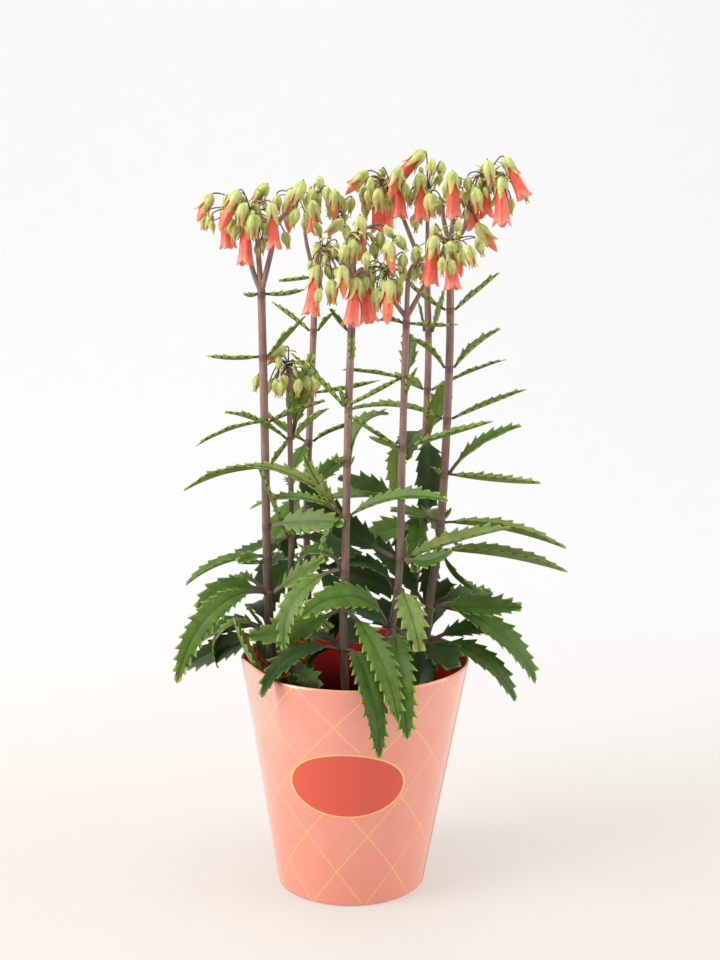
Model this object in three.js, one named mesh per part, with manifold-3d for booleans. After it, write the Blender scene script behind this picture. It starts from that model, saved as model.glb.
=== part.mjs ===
// Potted kalanchoe: seven flowering stems in a nursery pot that stands in a conical card cover.
// Millimetres, +Z up. The origin is the centre of the cover's foot, on the surface it stands on.
// The front, which the low leaves hang over, faces -Y.

import * as THREE from 'three';
import { mergeVertices } from 'three/addons/utils/BufferGeometryUtils.js';
import Module from 'manifold-3d';

const wasm = await Module();
wasm.setup();

// Clearance between pieces that touch
const gap = 0.3;

// Card cover: a cone with a closed foot, its rim shifted sideways by the lean
const cover = { height: 140, rimRadius: 68.4, footRadius: 44.5, wall: 0.9, floor: 1.2, lean: 2.4 };

// The cover is squeezed flat at the front left, between two rim angles, fading out below the rim
const pinch = { from: 182, to: 228, lowest: 78 };

// Nursery pot inside the cover
const pot = { rimRadius: 56, footRadius: 40, height: 99, wall: 1.2, lipOut: 1.8, lipDeep: 9 };

// Drain holes in the pot's floor
const drain = { holes: 6, radius: 4, ring: 28, reach: 3, sides: 8 };

// Soil, heaped inside a share of its radius, with a sloping edge and a little slack to the pot's wall
const soil = { top: 91, heap: 3, heapShare: 0.7, edge: 2, slack: 0.45 };

// Stems: y, the path as [x, z] from the end in the soil to the fork, and the radius at both ends
const stems = {
  a: { y: -8, path: [[-42, 76], [-46, 121], [-49, 187], [-50, 285], [-51, 360]], thick: [2.8, 2.3] },
  b: { y: -2, path: [[-34, 76], [-36, 171], [-35, 224], [-36, 312]], thick: [1.9, 1.5] },
  c: { y: 30, path: [[-24, 76], [-27, 198], [-26, 251], [-22, 341], [-22, 372]], thick: [2.4, 1.9] },
  d: { y: -25, path: [[-1, 76], [-4, 157], [-3, 201], [-1, 290], [2, 368]], thick: [2.6, 2.1] },
  e: { y: -20, path: [[13, 76], [20, 141], [28, 190], [30, 270], [32, 346]], thick: [2.5, 2.0] },
  f: { y: 35, path: [[31, 76], [37, 147], [43, 214], [47, 310], [46, 365]], thick: [2.5, 2.0] },
  g: { y: 5, path: [[40, 76], [47, 165], [54, 222], [58, 315], [58, 385]], thick: [2.8, 2.2] },
};

// Whorls of leaves: name, stem, height, then one row a leaf with its bearing (0 = +X, 90 = +Y), its
// rise at the stem, how far it bends down along its length, its length, its width, the upward fold
// of its two halves and its roll. Angles are in degrees, lengths in millimetres.
const whorls = [
  ['a1', 'a', 358, [[176, -18, -30, 8, 5, 50, -8], [8, -5, -21, 23, 5, 50, 10]]],
  ['a2', 'a', 322, [[181, -5, -11, 30, 5, 55, -4], [345, 48, 6, 33, 8, 50, 13]]],
  ['a3', 'a', 284, [[185, -5, 32, 41, 5, 55, 6], [6, 28, 18, 35, 7, 55, 10]]],
  ['a4', 'a', 257, [[194, 6, 42, 48, 11, 48, 1], [41, 45, 3, 28, 5, 50, -6]]],
  ['a5', 'a', 222, [[337, 19, 25, 49, 18, 12, 63]]],
  ['a6', 'a', 204, [[175, 3, 51, 52, 13, 35, -10], [205, 8, 34, 16, 11, 30, -36]]],
  ['a7', 'a', 182, [[235, 20, 90, 95, 20, 12, -38], [137, 30, 121, 75, 17, 25, -10],
    [343, 35, -1, 40, 15, 25, 58], [189, 33, 92, 45, 18, 20, -46]]],
  ['a8', 'a', 158, [[177, 46, 171, 55, 12, 20, -12], [175, -21, 10, 55, 19, 25, -64],
    [196, 67, 24, 21, 13, 20, 3], [348, 66, 123, 42, 15, 20, 40], [163, 23, 80, 51, 22, 20, -27],
    [112, 70, 126, 41, 14, 20, -15]]],
  ['a9', 'a', 126, [[209, 55, -16, 50, 13, 40, -33], [109, 62, 68, 51, 18, 20, -6]]],
  ['b1', 'b', 273, [[223, 42, 38, 50, 7, 48, -22], [323, 53, 33, 34, 8, 50, 3],
    [48, 77, 12, 52, 22, 20, 26]]],
  ['b2', 'b', 214, [[218, 61, -6, 52, 6, 50, -7], [320, 78, 32, 11, 5, 40, 0],
    [108, -14, 106, 18, 16, 20, -16], [160, -17, 10, 43, 12, 20, -26], [17, 0, 54, 51, 19, 20, 48]]],
  ['b3', 'b', 125, [[267, 15, -14, 47, 16, 25, 16], [63, 37, 75, 24, 15, 20, 42],
    [302, 43, 71, 33, 18, 20, 40]]],
  ['c1', 'c', 334, [[170, 41, 10, 29, 5, 50, -10], [347, 59, 24, 17, 5, 50, 2]]],
  ['c2', 'c', 297, [[346, 8, -7, 41, 6, 50, 5]]],
  ['c3', 'c', 267, [[172, 32, -6, 34, 10, 50, 5], [3, 41, 45, 34, 6, 50, 3],
    [247, -31, 13, 23, 20, 20, 5]]],
  ['c4', 'c', 237, [[25, 52, 35, 32, 15, 20, 32], [103, 21, 57, 53, 17, 25, -14],
    [221, -40, 19, 48, 20, 12, -31]]],
  ['c5', 'c', 190, [[238, 32, 122, 53, 19, 25, -20], [80, 34, 105, 57, 24, 20, 8],
    [317, -20, 37, 43, 15, 20, 14], [346, 82, 135, 23, 17, 20, 24], [357, -6, 25, 61, 23, 20, 48],
    [129, 22, 101, 66, 23, 20, 12]]],
  ['d1', 'd', 338, [[149, 39, -9, 17, 6, 45, -6], [282, -87, 11, 19, 5, 20, -4]]],
  ['d2', 'd', 295, [[188, 52, 14, 43, 12, 50, -11], [214, 69, -1, 12, 16, 40, 18]]],
  ['d3', 'd', 263, [[43, 97, 118, 47, 15, 35, -5], [220, 55, 26, 5, 5, 30, -7]]],
  ['d4', 'd', 232, [[181, 56, 58, 66, 11, 40, -30], [154, 31, 66, 65, 11, 30, -25],
    [331, 36, 47, 65, 23, 35, 36], [167, 47, -19, 41, 11, 25, -42], [205, -32, 60, 29, 7, 40, 0]]],
  ['d5', 'd', 200, [[203, -5, 97, 65, 17, 20, -33], [142, 58, 147, 49, 13, 30, -36]]],
  ['d6', 'd', 176, [[298, -7, 64, 84, 19, 15, 6], [189, -32, -34, 56, 22, 15, -37],
    [102, -4, 77, 47, 16, 20, -13]]],
  ['d7', 'd', 152, [[290, 23, 122, 91, 18, 15, 5], [218, 25, 88, 64, 18, 30, -26],
    [150, 4, 76, 30, 14, 20, 0], [132, 22, 54, 41, 12, 20, -17], [77, 17, 4, 34, 21, 20, 45]]],
  ['e1', 'e', 342, [[140, 23, 44, 18, 5, 50, 6], [355, -5, -6, 27, 5, 50, 0]]],
  ['e2', 'e', 311, [[178, 17, 20, 34, 5, 50, 6], [201, -26, -2, 37, 5, 50, -9],
    [66, 67, -20, 25, 12, 20, 3]]],
  ['e3', 'e', 271, [[194, 34, 2, 38, 5, 50, 0], [202, 21, 4, 19, 11, 35, 6],
    [350, 21, 7, 52, 9, 45, 9], [96, -5, 107, 48, 14, 25, 11]]],
  ['e4', 'e', 242, [[166, 24, 20, 37, 17, 25, -41], [163, 6, 23, 44, 16, 40, -24]]],
  ['e5', 'e', 205, [[0, 28, 23, 66, 15, 38, 18], [330, -6, -43, 34, 19, 20, 53],
    [162, 24, -23, 73, 23, 15, -44]]],
  ['e6', 'e', 187, [[288, 4, 79, 51, 19, 15, 2], [174, 72, 106, 41, 15, 25, -27]]],
  ['e7', 'e', 164, [[216, 68, 108, 75, 20, 15, -43], [280, 10, 103, 85, 19, 20, 0],
    [335, -34, 53, 16, 16, 20, 0], [139, 27, 30, 28, 14, 20, -23]]],
  ['f1', 'f', 333, [[330, 68, -8, 26, 8, 10, 56], [164, 85, 17, 19, 5, 20, 3]]],
  ['f2', 'f', 298, [[343, 32, 18, 50, 5, 50, 1], [178, 43, 40, 20, 15, 40, -17]]],
  ['f3', 'f', 269, [[305, 69, 11, 40, 21, 10, -18], [278, 0, 163, 65, 22, 10, -11],
    [102, 20, 98, 50, 22, 20, -12]]],
  ['f4', 'f', 215, [[262, 47, 150, 63, 17, 25, -5], [75, 26, 92, 71, 19, 20, 7],
    [199, 2, 36, 38, 20, 15, -42], [145, -19, 116, 34, 21, 20, -1]]],
  ['g1', 'g', 348, [[8, 42, 7, 34, 6, 50, 10], [175, 28, -20, 35, 6, 50, -10]]],
  ['g2', 'g', 314, [[2, 56, 33, 36, 8, 40, 20], [192, 65, 59, 34, 8, 50, -11]]],
  ['g3', 'g', 284, [[357, 27, 10, 47, 6, 45, 21], [178, 28, 48, 59, 7, 45, -20]]],
  ['g4', 'g', 251, [[352, 58, 47, 53, 14, 25, 26], [210, 60, 47, 7, 6, 40, 3],
    [357, -4, 3, 55, 12, 42, 4]]],
  ['g5', 'g', 222, [[350, 4, 30, 74, 17, 38, 0], [171, 30, 37, 29, 17, 30, -16]]],
  ['g6', 'g', 205, [[359, 6, 32, 77, 19, 38, 6], [21, -71, -51, 42, 20, 25, 10],
    [75, 28, 76, 57, 15, 25, 5], [108, -35, 85, 47, 18, 20, -15]]],
  ['g7', 'g', 170, [[351, 6, 9, 53, 19, 25, 37], [2, -3, 70, 84, 21, 18, 42],
    [37, 71, 65, 20, 17, 20, 24], [42, 15, 31, 52, 15, 20, 37], [163, 55, 15, 57, 20, 20, -29]]],
  ['g8', 'g', 148, [[347, 5, 77, 67, 20, 18, 29], [10, 30, 51, 48, 15, 30, 43],
    [295, 4, 34, 34, 24, 15, 20], [255, -36, 37, 32, 23, 15, 1], [75, 53, 76, 63, 20, 20, -10],
    [140, 33, 37, 57, 24, 20, -38]]],
];

// Flower heads: the branches above each fork as points from the fork, then one row a flower with its
// kind, the place of its top measured from the fork, and its lean to the right of straight down
const heads = {
  a: {
    branches: [[[-5, 0, 12], [-7, -2, 28], [-5, -2, 43]], [[-2, 1, 29], [-3, 2, 43]],
      [[6, 0, 22], [9, 0, 37], [18, 2, 46], [21, 1, 51]]],
    flowers: [['half', -27, -5, 54, -28], ['bud', -28, 5, 43, -24], ['long', -11, -12, 56, -26],
      ['bell', -21, 13, 50, 3], ['plump', -8, -16, 49, -9], ['bud', -14, -8, 38, -4],
      ['bell', -8, -4, 41, -1], ['plump', -3, -18, 43, -1], ['plump', 4, 8, 60, -37],
      ['bell', 7, -12, 49, 3], ['bud', 0, 11, 42, 13], ['bud', 13, 8, 33, 14],
      ['bud', 1, 4, 30, -4], ['plump', 19, -3, 57, -16], ['plump', 25, -8, 61, -25],
      ['bud', 21, -6, 46, -13], ['half', 15, 13, 51, 2], ['bud', -32, 6, 44, -10],
      ['bud', 9, 4, 54, 6]],
  },
  b: {
    branches: [[[0, 0, 4]]],
    flowers: [['bud', -18, 4, -2, -12], ['bud', -7, -6, -3, 2], ['bud', -11, 2, -5, -15],
      ['bud', -3, -8, -4, -9], ['bud', 6, -6, -3, -3], ['bud', 3, 6, -4, -10],
      ['bud', 10, 0, -2, 14], ['plump', 17, 2, -1, -16], ['plump', -1, -2, 15, -56]],
  },
  c: {
    branches: [[[-2, 0, 4], [-5, 0, 20], [-3, -2, 33]], [[8, 0, 12], [10, 0, 20], [13, 2, 30]]],
    flowers: [['half', 13, -8, 45, -2], ['plump', 18, -14, 28, -47], ['bud', 19, -4, 25, 9],
      ['bud', 4, 0, 53, 0], ['plump', -1, -4, 46, 6], ['plump', -1, -12, 39, 16],
      ['bud', -5, -4, 30, 0], ['bud', 1, 8, 26, 18], ['bud', 19, 0, 39, -11],
      ['bud', 23, 10, 41, -9], ['bell', 2, 14, 44, -8], ['plump', 10, 16, 42, 10],
      ['bud', 8, -6, 47, 4]],
  },
  d: {
    branches: [[[-10, 0, 11], [-17, 0, 15]], [[0, 2, 17], [1, 3, 22]],
      [[5, -1, 4], [12, -1, -1], [19, 0, 3]]],
    flowers: [['bud', -19, 5, 18, -18], ['bell', -20, -6, 7, -8], ['bud', -19, -14, -6, -6],
      ['plump', -12, -8, -1, 0], ['bell', 2, -8, 0, -8], ['bell', 5, 4, 2, 8],
      ['plump', 13, -5, -6, 0], ['long', 20, -8, -1, -3], ['half', 19, -6, 20, 9],
      ['bud', 7, -12, 14, 0], ['half', -3, 10, 14, 2], ['half', 9, 12, 7, 0],
      ['bud', 28, 0, 13, -4], ['bud', -9, -4, 19, -16], ['bud', -4, -12, 18, -18],
      ['plump', 0, -8, 21, -3], ['long', 4, 2, 34, -1], ['bud', 17, 4, 28, 40],
      ['bud', 24, 2, 23, 32], ['bud', -15, -2, 7, 17], ['bud', 11, 8, 19, 10],
      ['half', -6, -13, 7, 2], ['bud', 15, 6, 25, 0]],
  },
  e: {
    branches: [[[-7, 0, 8], [-11, 1, 15]], [[1, 0, 21], [4, 0, 28], [8, 0, 31]],
      [[11, 0, 19], [15, 0, 28], [22, 0, 38]]],
    flowers: [['bell', 15, -8, 45, -5], ['bell', 24, -6, 42, 3], ['half', 28, 6, 40, 10],
      ['plump', 33, -10, 40, 17], ['bud', 5, -2, 39, 0], ['bud', 6, 4, 29, -9],
      ['bud', 19, -14, 33, 1], ['bud', 24, -12, 32, 4], ['bud', 29, 8, 54, 1],
      ['bud', 40, 4, 43, 18], ['bud', 16, 10, 51, 0], ['bud', 23, 6, 45, -4],
      ['plump', -5, 6, 21, -3]],
  },
  f: {
    branches: [[[-8, 0, 19], [-14, 0, 34], [-18, 0, 46], [-22, 0, 52]], [[0, 0, 24], [0, 1, 33], [0, 1, 49]]],
    flowers: [['half', -36, -4, 63, -43], ['bud', -34, -12, 59, 0], ['bud', -27, 6, 65, -9],
      ['bud', -36, -8, 52, 7], ['plump', -30, -12, 53, 3], ['bell', -31, 4, 54, 3],
      ['half', -17, -14, 65, -18], ['bell', -17, -6, 62, 0], ['bell', -2, 0, 75, -44],
      ['bud', 8, 4, 69, 1], ['bell', -5, -8, 62, 2], ['bud', -14, -12, 56, 4],
      ['plump', 0, -16, 50, 6], ['bud', 7, -14, 47, 1], ['bud', -7, 0, 37, 0],
      ['bud', -24, -4, 48, 0], ['bud', -10, 8, 52, -4], ['bell', -22, 15, 58, -6],
      ['plump', -6, 17, 60, 8], ['plump', -38, 4, 55, 4], ['bud', -37, 9, 45, 0],
      ['bud', 2, -5, 70, 0]],
  },
  g: {
    branches: [[[-4, 0, 14], [-5, 0, 26]], [[1, 1, 11], [3, 2, 28]],
      [[7, 0, 8], [9, 0, 14], [12, 0, 26], [21, 0, 38]]],
    flowers: [['bell', 30, -4, 50, 27], ['plump', 20, -8, 48, 10], ['bell', 28, -8, 39, 1],
      ['bell', 19, 4, 42, 5], ['bell', 13, 7, 35, 2], ['plump', 13, -10, 33, 11],
      ['bud', 17, 8, 41, 5], ['bud', 35, 4, 27, 1], ['bell', 0, -10, 42, 3], ['bud', 7, 0, 31, 5],
      ['bud', 26, 8, 37, 8], ['half', 15, -2, 12, 37], ['bud', 41, 8, 34, 24],
      ['bud', -1, 10, 37, -11], ['bud', 9, -6, 39, 4]],
  },
};

// Outlines of the kinds of bud and flower as [radius, height below the top]
const outlines = {
  bell: [[0, -25], [5.3, -27.5], [2.5, -16], [3.8, -8], [3, -2.5], [0, 0]],
  long: [[0, -24], [2.5, -19], [3.7, -8], [3, -2.5], [0, 0]],
  half: [[0, -19], [2.4, -14], [3.5, -6], [2.8, -1.8], [0, 0]],
  plump: [[0, -14], [3.7, -6], [2.9, -1.8], [0, 0]],
  bud: [[0, -10], [2.6, -5], [1.9, -1.3], [0, 0]],
};

// A leaf starts inside its collar and is thickest along its middle, more at the stalk than at the tip
const leafForm = { start: 0.75, stalkRib: 0.63, tipRib: 0.25, steps: 4 };

// Outline of a leaf: shares of its full width, and the powers that set how far along it is widest
const blade = { share: 0.95, skew: 0.75, fullness: 0.8, stalk: 0.2, least: 0.07 };

// Collar that joins the leaves of a whorl round the stem
const collar = { out: 1.5, height: 2.6 };

// Stalk of a single flower: where on its branch it starts, its radius, how deep it ends in the flower,
// how high it arches and at which share of its way
const pedicel = { from: 0.92, radius: 0.45, depth: 1.2, arch: 5, archShare: 0.6 };

// Branches of a flower head, as shares of the stem's radius at the fork
const branching = { start: 0.72, end: 0.42, from: 1.6, sides: 4 };

// Knob they grow from, its rounded shoulder as shares of its radius and height
const knob = { height: 3, shoulderOut: 0.9, shoulderUp: 0.8 };

// Sides of the turned and round pieces
const stemSides = 6;
const flowerSides = 4;
const pedicelSides = 3;
const potSides = 36;
const soilSides = 28;
const rad = THREE.MathUtils.degToRad;

// A closed three.js geometry as a solid that can be joined and cut
function solidOf(geometry) {
  const bare = geometry.index ? geometry.clone() : geometry;
  bare.deleteAttribute('normal');
  bare.deleteAttribute('uv');
  const merged = mergeVertices(bare, 1e-4);
  const corners = Array.from(merged.index.array);
  const triangles = [];
  for (let i = 0; i < corners.length; i += 3) {
    const [a, b, c] = corners.slice(i, i + 3);
    if (a !== b && b !== c && c !== a) triangles.push(a, b, c);
  }
  const vertProperties = Float32Array.from(merged.attributes.position.array);
  const triVerts = Uint32Array.from(triangles);
  return new wasm.Manifold(new wasm.Mesh({ numProp: 3, vertProperties, triVerts }));
}

// The geometry of a solid
function geometryOf(solid) {
  const mesh = solid.getMesh();
  const geometry = new THREE.BufferGeometry();
  geometry.setAttribute('position', new THREE.BufferAttribute(Float32Array.from(mesh.vertProperties), 3));
  geometry.setIndex(new THREE.BufferAttribute(Uint32Array.from(mesh.triVerts), 1));
  geometry.computeVertexNormals();
  return geometry;
}

// Moves every vertex of a geometry with a function
function reshape(geometry, move) {
  const places = geometry.attributes.position;
  const point = new THREE.Vector3();
  for (let i = 0; i < places.count; i += 1) {
    point.fromBufferAttribute(places, i);
    const moved = move(point);
    places.setXYZ(i, moved.x, moved.y, moved.z);
  }
  return geometry;
}

// A closed profile of [radius, height] turned about the z axis
function turned(profile, sides) {
  const points = profile.map(([radius, height]) => new THREE.Vector2(radius, height));
  return new THREE.LatheGeometry(points, sides).rotateX(Math.PI / 2);
}

// A round rod along a curve, its radius running from one end's to the other's
function rod(curve, startRadius, endRadius, sides, steps) {
  const frames = curve.computeFrenetFrames(steps, false);
  return reshape(new THREE.CylinderGeometry(1, 1, 1, sides, steps), (point) => {
    const along = THREE.MathUtils.clamp(point.y + 0.5, 0, 1);
    const step = Math.round(along * steps);
    const radius = THREE.MathUtils.lerp(startRadius, endRadius, along);
    return curve.getPointAt(along)
      .addScaledVector(frames.normals[step], point.x * radius)
      .addScaledVector(frames.binormals[step], -point.z * radius);
  });
}

// Where a stem is at a height, and how thick
function stemAt(stem, z) {
  const upper = Math.max(1, stem.path.findIndex((point) => point[1] >= z));
  const [x0, z0] = stem.path[upper - 1];
  const [x1, z1] = stem.path[upper];
  const [low, high] = [stem.path[0][1], stem.path.at(-1)[1]];
  const radius = THREE.MathUtils.mapLinear(z, low, high, stem.thick[0], stem.thick[1]);
  return { x: THREE.MathUtils.mapLinear(z, z0, z1, x0, x1), y: stem.y, radius };
}

// A stem, or with extra thickness the socket it stands in, between two heights of its path
function stemSolid(stem, extra) {
  const rings = stem.path.length - 1;
  return solidOf(reshape(new THREE.CylinderGeometry(1, 1, 1, stemSides, rings), (point) => {
    const ring = Math.round((point.y + 0.5) * rings);
    const z = stem.path[ring][1] - (ring === 0 ? extra : 0);
    const place = stemAt(stem, stem.path[ring][1]);
    const radius = place.radius + extra;
    return new THREE.Vector3(place.x + point.x * radius, place.y - point.z * radius, z);
  }));
}

// Radius of the cover's skin at an angle in degrees and a height from 0 at the foot to 1 at the rim
function coverRadius(angle, level, inset) {
  const radius = THREE.MathUtils.lerp(cover.footRadius, cover.rimRadius, level) - inset;
  const middle = (pinch.from + pinch.to) / 2;
  const half = (pinch.to - pinch.from) / 2;
  if (Math.abs(angle - middle) > half) return radius;
  const chord = radius * Math.cos(rad(half)) / Math.cos(rad(angle - middle));
  const flat = THREE.MathUtils.smoothstep(level * cover.height, pinch.lowest, cover.height);
  return THREE.MathUtils.lerp(radius, chord, flat);
}

// The cover's cone as a full solid, set in by an inset and starting at a height
function coverCone(inset, bottom, top) {
  const sides = 48;
  const steps = 4;
  return solidOf(reshape(new THREE.CylinderGeometry(1, 1, 1, sides, steps), (point) => {
    const z = THREE.MathUtils.lerp(bottom, top, point.y + 0.5);
    const level = z / cover.height;
    const away = Math.hypot(point.x, point.z);
    const angle = (THREE.MathUtils.radToDeg(Math.atan2(-point.z, point.x)) + 360) % 360;
    const radius = away * coverRadius(angle, level, inset);
    const centre = cover.lean * level;
    return new THREE.Vector3(centre + radius * Math.cos(rad(angle)), radius * Math.sin(rad(angle)), z);
  }));
}

function coverSolid() {
  return coverCone(0, 0, cover.height).subtract(coverCone(cover.wall, cover.floor, cover.height + 1));
}

// The nursery pot, turned, with drain holes in its floor
function potSolid() {
  const bottom = cover.floor + gap;
  const top = bottom + pot.height;
  const lipLow = top - pot.lipDeep;
  const under = pot.rimRadius - pot.lipOut;
  const profile = [[0, bottom], [pot.footRadius, bottom], [under, lipLow], [pot.rimRadius, lipLow],
    [pot.rimRadius, top], [under - pot.wall, top], [pot.footRadius - pot.wall, bottom + pot.wall],
    [0, bottom + pot.wall]];
  let body = solidOf(turned(profile, potSides));
  for (let i = 0; i < drain.holes; i += 1) {
    const turn = (i / drain.holes) * 2 * Math.PI;
    const hole = new THREE.CylinderGeometry(drain.radius, drain.radius, 2 * drain.reach, drain.sides);
    hole.rotateX(Math.PI / 2).translate(drain.ring * Math.cos(turn), drain.ring * Math.sin(turn), bottom);
    body = body.subtract(solidOf(hole));
  }
  return body;
}

// The soil fills the pot, with a socket for every stem
function soilSolid() {
  const potFloor = cover.floor + gap;
  const potTop = potFloor + pot.height;
  const footInside = pot.footRadius - pot.wall - soil.slack;
  const rimInside = pot.rimRadius - pot.lipOut - pot.wall - soil.slack;
  const inside = (z) => THREE.MathUtils.mapLinear(z, potFloor + pot.wall, potTop, footInside, rimInside);
  const bottom = potFloor + pot.wall + gap;
  const edge = soil.top - soil.edge;
  const profile = [[0, bottom], [inside(bottom), bottom], [inside(edge), edge],
    [soil.heapShare * inside(soil.top), soil.top], [0, soil.top + soil.heap]];
  let body = solidOf(turned(profile, soilSides));
  for (const stem of Object.values(stems)) body = body.subtract(stemSolid(stem, gap));
  return body;
}

// Width of a leaf as a share of its full width, from the stalk at 0 to the tip at 1
function leafOutline(along) {
  const belly = Math.max(0, Math.sin(Math.PI * along ** blade.skew)) ** blade.fullness;
  return Math.max(blade.least, blade.stalk * (1 - along) + blade.share * belly);
}

// One leaf: its middle line is an arc in the upright plane of its bearing, and its section is a
// folded wedge with a thick midrib, half of the fold's rise below that line
function leafSolid(place, z, [bearing, rise, bend, length, width, fold, roll]) {
  const [a, r, b] = [rad(bearing), rad(rise), rad(bend) || 1e-4];
  const outward = new THREE.Vector3(Math.cos(a), Math.sin(a), 0);
  const up = new THREE.Vector3(0, 0, 1);
  const base = new THREE.Vector3(place.x, place.y, z).addScaledVector(outward, place.radius + leafForm.start);
  return solidOf(reshape(new THREE.CylinderGeometry(1, 1, 1, 4, leafForm.steps), (corner) => {
    const along = corner.y + 0.5;
    const slope = r - b * along;
    const middle = base.clone()
      .addScaledVector(outward, length * (Math.sin(r) - Math.sin(slope)) / b)
      .addScaledVector(up, length * (Math.cos(slope) - Math.cos(r)) / b);
    const ahead = outward.clone().multiplyScalar(Math.cos(slope)).addScaledVector(up, Math.sin(slope));
    const side = new THREE.Vector3(-Math.sin(a), Math.cos(a), 0).applyAxisAngle(ahead, rad(roll));
    const top = ahead.clone().cross(side);
    const half = 0.5 * width * leafOutline(along);
    const rib = THREE.MathUtils.lerp(leafForm.stalkRib, leafForm.tipRib, along);
    const across = -corner.x * half * Math.cos(rad(fold));
    const raised = (Math.abs(corner.x) - 0.5) * half * Math.sin(rad(fold));
    return middle.addScaledVector(side, across).addScaledVector(top, raised + corner.z * rib);
  }));
}

// A whorl: a collar round the stem that carries its leaves
function whorlSolid([, stemName, z, leaves]) {
  const place = stemAt(stems[stemName], z);
  const inner = place.radius + gap;
  const outer = place.radius + collar.out;
  const half = collar.height / 2;
  const profile = [[inner, -half], [outer, -half], [outer, half], [inner, half], [inner, -half]];
  let body = solidOf(turned(profile, stemSides).translate(place.x, place.y, z));
  for (const leaf of leaves) body = body.add(leafSolid(place, z, leaf));
  return body;
}

// A bud or flower hanging from a point, leaning to the side
function flowerSolid([kind, x, y, z, lean]) {
  return solidOf(turned(outlines[kind], flowerSides).rotateY(-rad(lean)).translate(x, y, z));
}

// A thin stalk arching from a branch end up and over to a flower's top
function pedicelSolid(start, [, x, y, z, lean]) {
  const end = new THREE.Vector3(Math.sin(rad(lean)), 0, -Math.cos(rad(lean)))
    .multiplyScalar(pedicel.depth)
    .add(new THREE.Vector3(x, y, z));
  const middle = start.clone().lerp(end, pedicel.archShare);
  middle.z = Math.max(start.z, end.z) + pedicel.arch;
  const curve = new THREE.QuadraticBezierCurve3(start, middle, end);
  return solidOf(rod(curve, pedicel.radius, pedicel.radius, pedicelSides, 2));
}

// The branches above a fork with their flowers, in one piece, placed on the stem's top
function headSolid(name) {
  const head = heads[name];
  const stem = stems[name];
  const thick = stem.thick[1];
  const profile = [[0, gap], [thick, gap], [knob.shoulderOut * thick, knob.shoulderUp * knob.height],
    [0, knob.height]];
  let body = solidOf(turned(profile, stemSides));
  const ends = [];
  for (const branch of head.branches) {
    const points = [[0, 0, branching.from], ...branch].map((point) => new THREE.Vector3(...point));
    const curve = new THREE.CatmullRomCurve3(points);
    const [startRadius, endRadius] = [branching.start * thick, branching.end * thick];
    body = body.add(solidOf(rod(curve, startRadius, endRadius, branching.sides, 2 + branch.length)));
    ends.push(curve.getPointAt(pedicel.from));
  }
  for (const flower of head.flowers) {
    const top = new THREE.Vector3(...flower.slice(1, 4));
    const start = ends.reduce((near, end) => (end.distanceTo(top) < near.distanceTo(top) ? end : near));
    body = body.add(pedicelSolid(start, flower)).add(flowerSolid(flower));
  }
  const [x, z] = stem.path.at(-1);
  return body.translate([x, stem.y, z]);
}

const finishes = {
  card: () => new THREE.MeshStandardMaterial({ color: 0xf0a091, roughness: 0.35, metalness: 0 }),
  plastic: () => new THREE.MeshStandardMaterial({ color: 0x1f1c1b, roughness: 0.55, metalness: 0 }),
  soil: () => new THREE.MeshStandardMaterial({ color: 0x2a1c14, roughness: 0.95, metalness: 0 }),
  stem: () => new THREE.MeshStandardMaterial({ color: 0x8b6561, roughness: 0.5, metalness: 0 }),
  leaf: () => new THREE.MeshStandardMaterial({ color: 0x5c8a3c, roughness: 0.5, metalness: 0 }),
  flower: () => new THREE.MeshStandardMaterial({ color: 0xf0705a, roughness: 0.45, metalness: 0 }),
};

function piece(name, solid, finish) {
  const mesh = new THREE.Mesh(geometryOf(solid), finishes[finish]());
  mesh.name = name;
  return mesh;
}

const plant = new THREE.Group();
plant.add(piece('pot_cover', coverSolid(), 'card'));
plant.add(piece('nursery_pot', potSolid(), 'plastic'));
plant.add(piece('soil', soilSolid(), 'soil'));
for (const name of Object.keys(stems)) {
  plant.add(piece(`stem_${name}`, stemSolid(stems[name], 0), 'stem'));
  plant.add(piece(`flower_head_${name}`, headSolid(name), 'flower'));
}
for (const whorl of whorls) plant.add(piece(`leaves_${whorl[0]}`, whorlSolid(whorl), 'leaf'));

export default plant;
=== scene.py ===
# Potted kalanchoe over its CAD frame. The lengths in the tables are millimetres.
import math
import bpy
import numpy as np
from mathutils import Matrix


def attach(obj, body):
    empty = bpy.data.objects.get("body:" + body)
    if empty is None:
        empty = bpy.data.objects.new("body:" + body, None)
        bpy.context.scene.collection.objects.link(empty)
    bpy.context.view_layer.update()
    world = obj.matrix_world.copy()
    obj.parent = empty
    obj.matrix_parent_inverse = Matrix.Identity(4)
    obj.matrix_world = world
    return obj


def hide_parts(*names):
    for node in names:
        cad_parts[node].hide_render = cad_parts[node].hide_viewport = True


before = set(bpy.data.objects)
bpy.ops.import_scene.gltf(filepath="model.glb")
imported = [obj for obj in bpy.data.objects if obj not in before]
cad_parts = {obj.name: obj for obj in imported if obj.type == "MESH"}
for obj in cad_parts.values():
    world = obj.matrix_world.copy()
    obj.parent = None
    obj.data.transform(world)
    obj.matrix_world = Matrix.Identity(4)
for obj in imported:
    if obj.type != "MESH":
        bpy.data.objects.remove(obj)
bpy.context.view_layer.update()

mm = 0.001
dice = np.random.default_rng(11)
draw = dice.uniform
print("frame loaded, %d CAD nodes" % len(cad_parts))


# small helpers: colour, curves, meshes

def tint(red, green, blue):
    # screen colour 0-255 to linear light
    share = np.array([red, green, blue]) / 255
    light = np.where(share <= 0.04045, share / 12.92, ((share + 0.055) / 1.055) ** 2.4)
    return (*map(float, light), 1.0)


def smooth(low, high, value):
    part = np.clip((value - low) / (high - low), 0, 1)
    return part * part * (3 - 2 * part)


def unit(vectors):
    return vectors / np.maximum(np.linalg.norm(vectors, axis=-1, keepdims=True), 1e-9)


def heading(degrees):
    # level direction of a bearing
    return np.array([math.cos(math.radians(degrees)), math.sin(math.radians(degrees)), 0.0])


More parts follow.
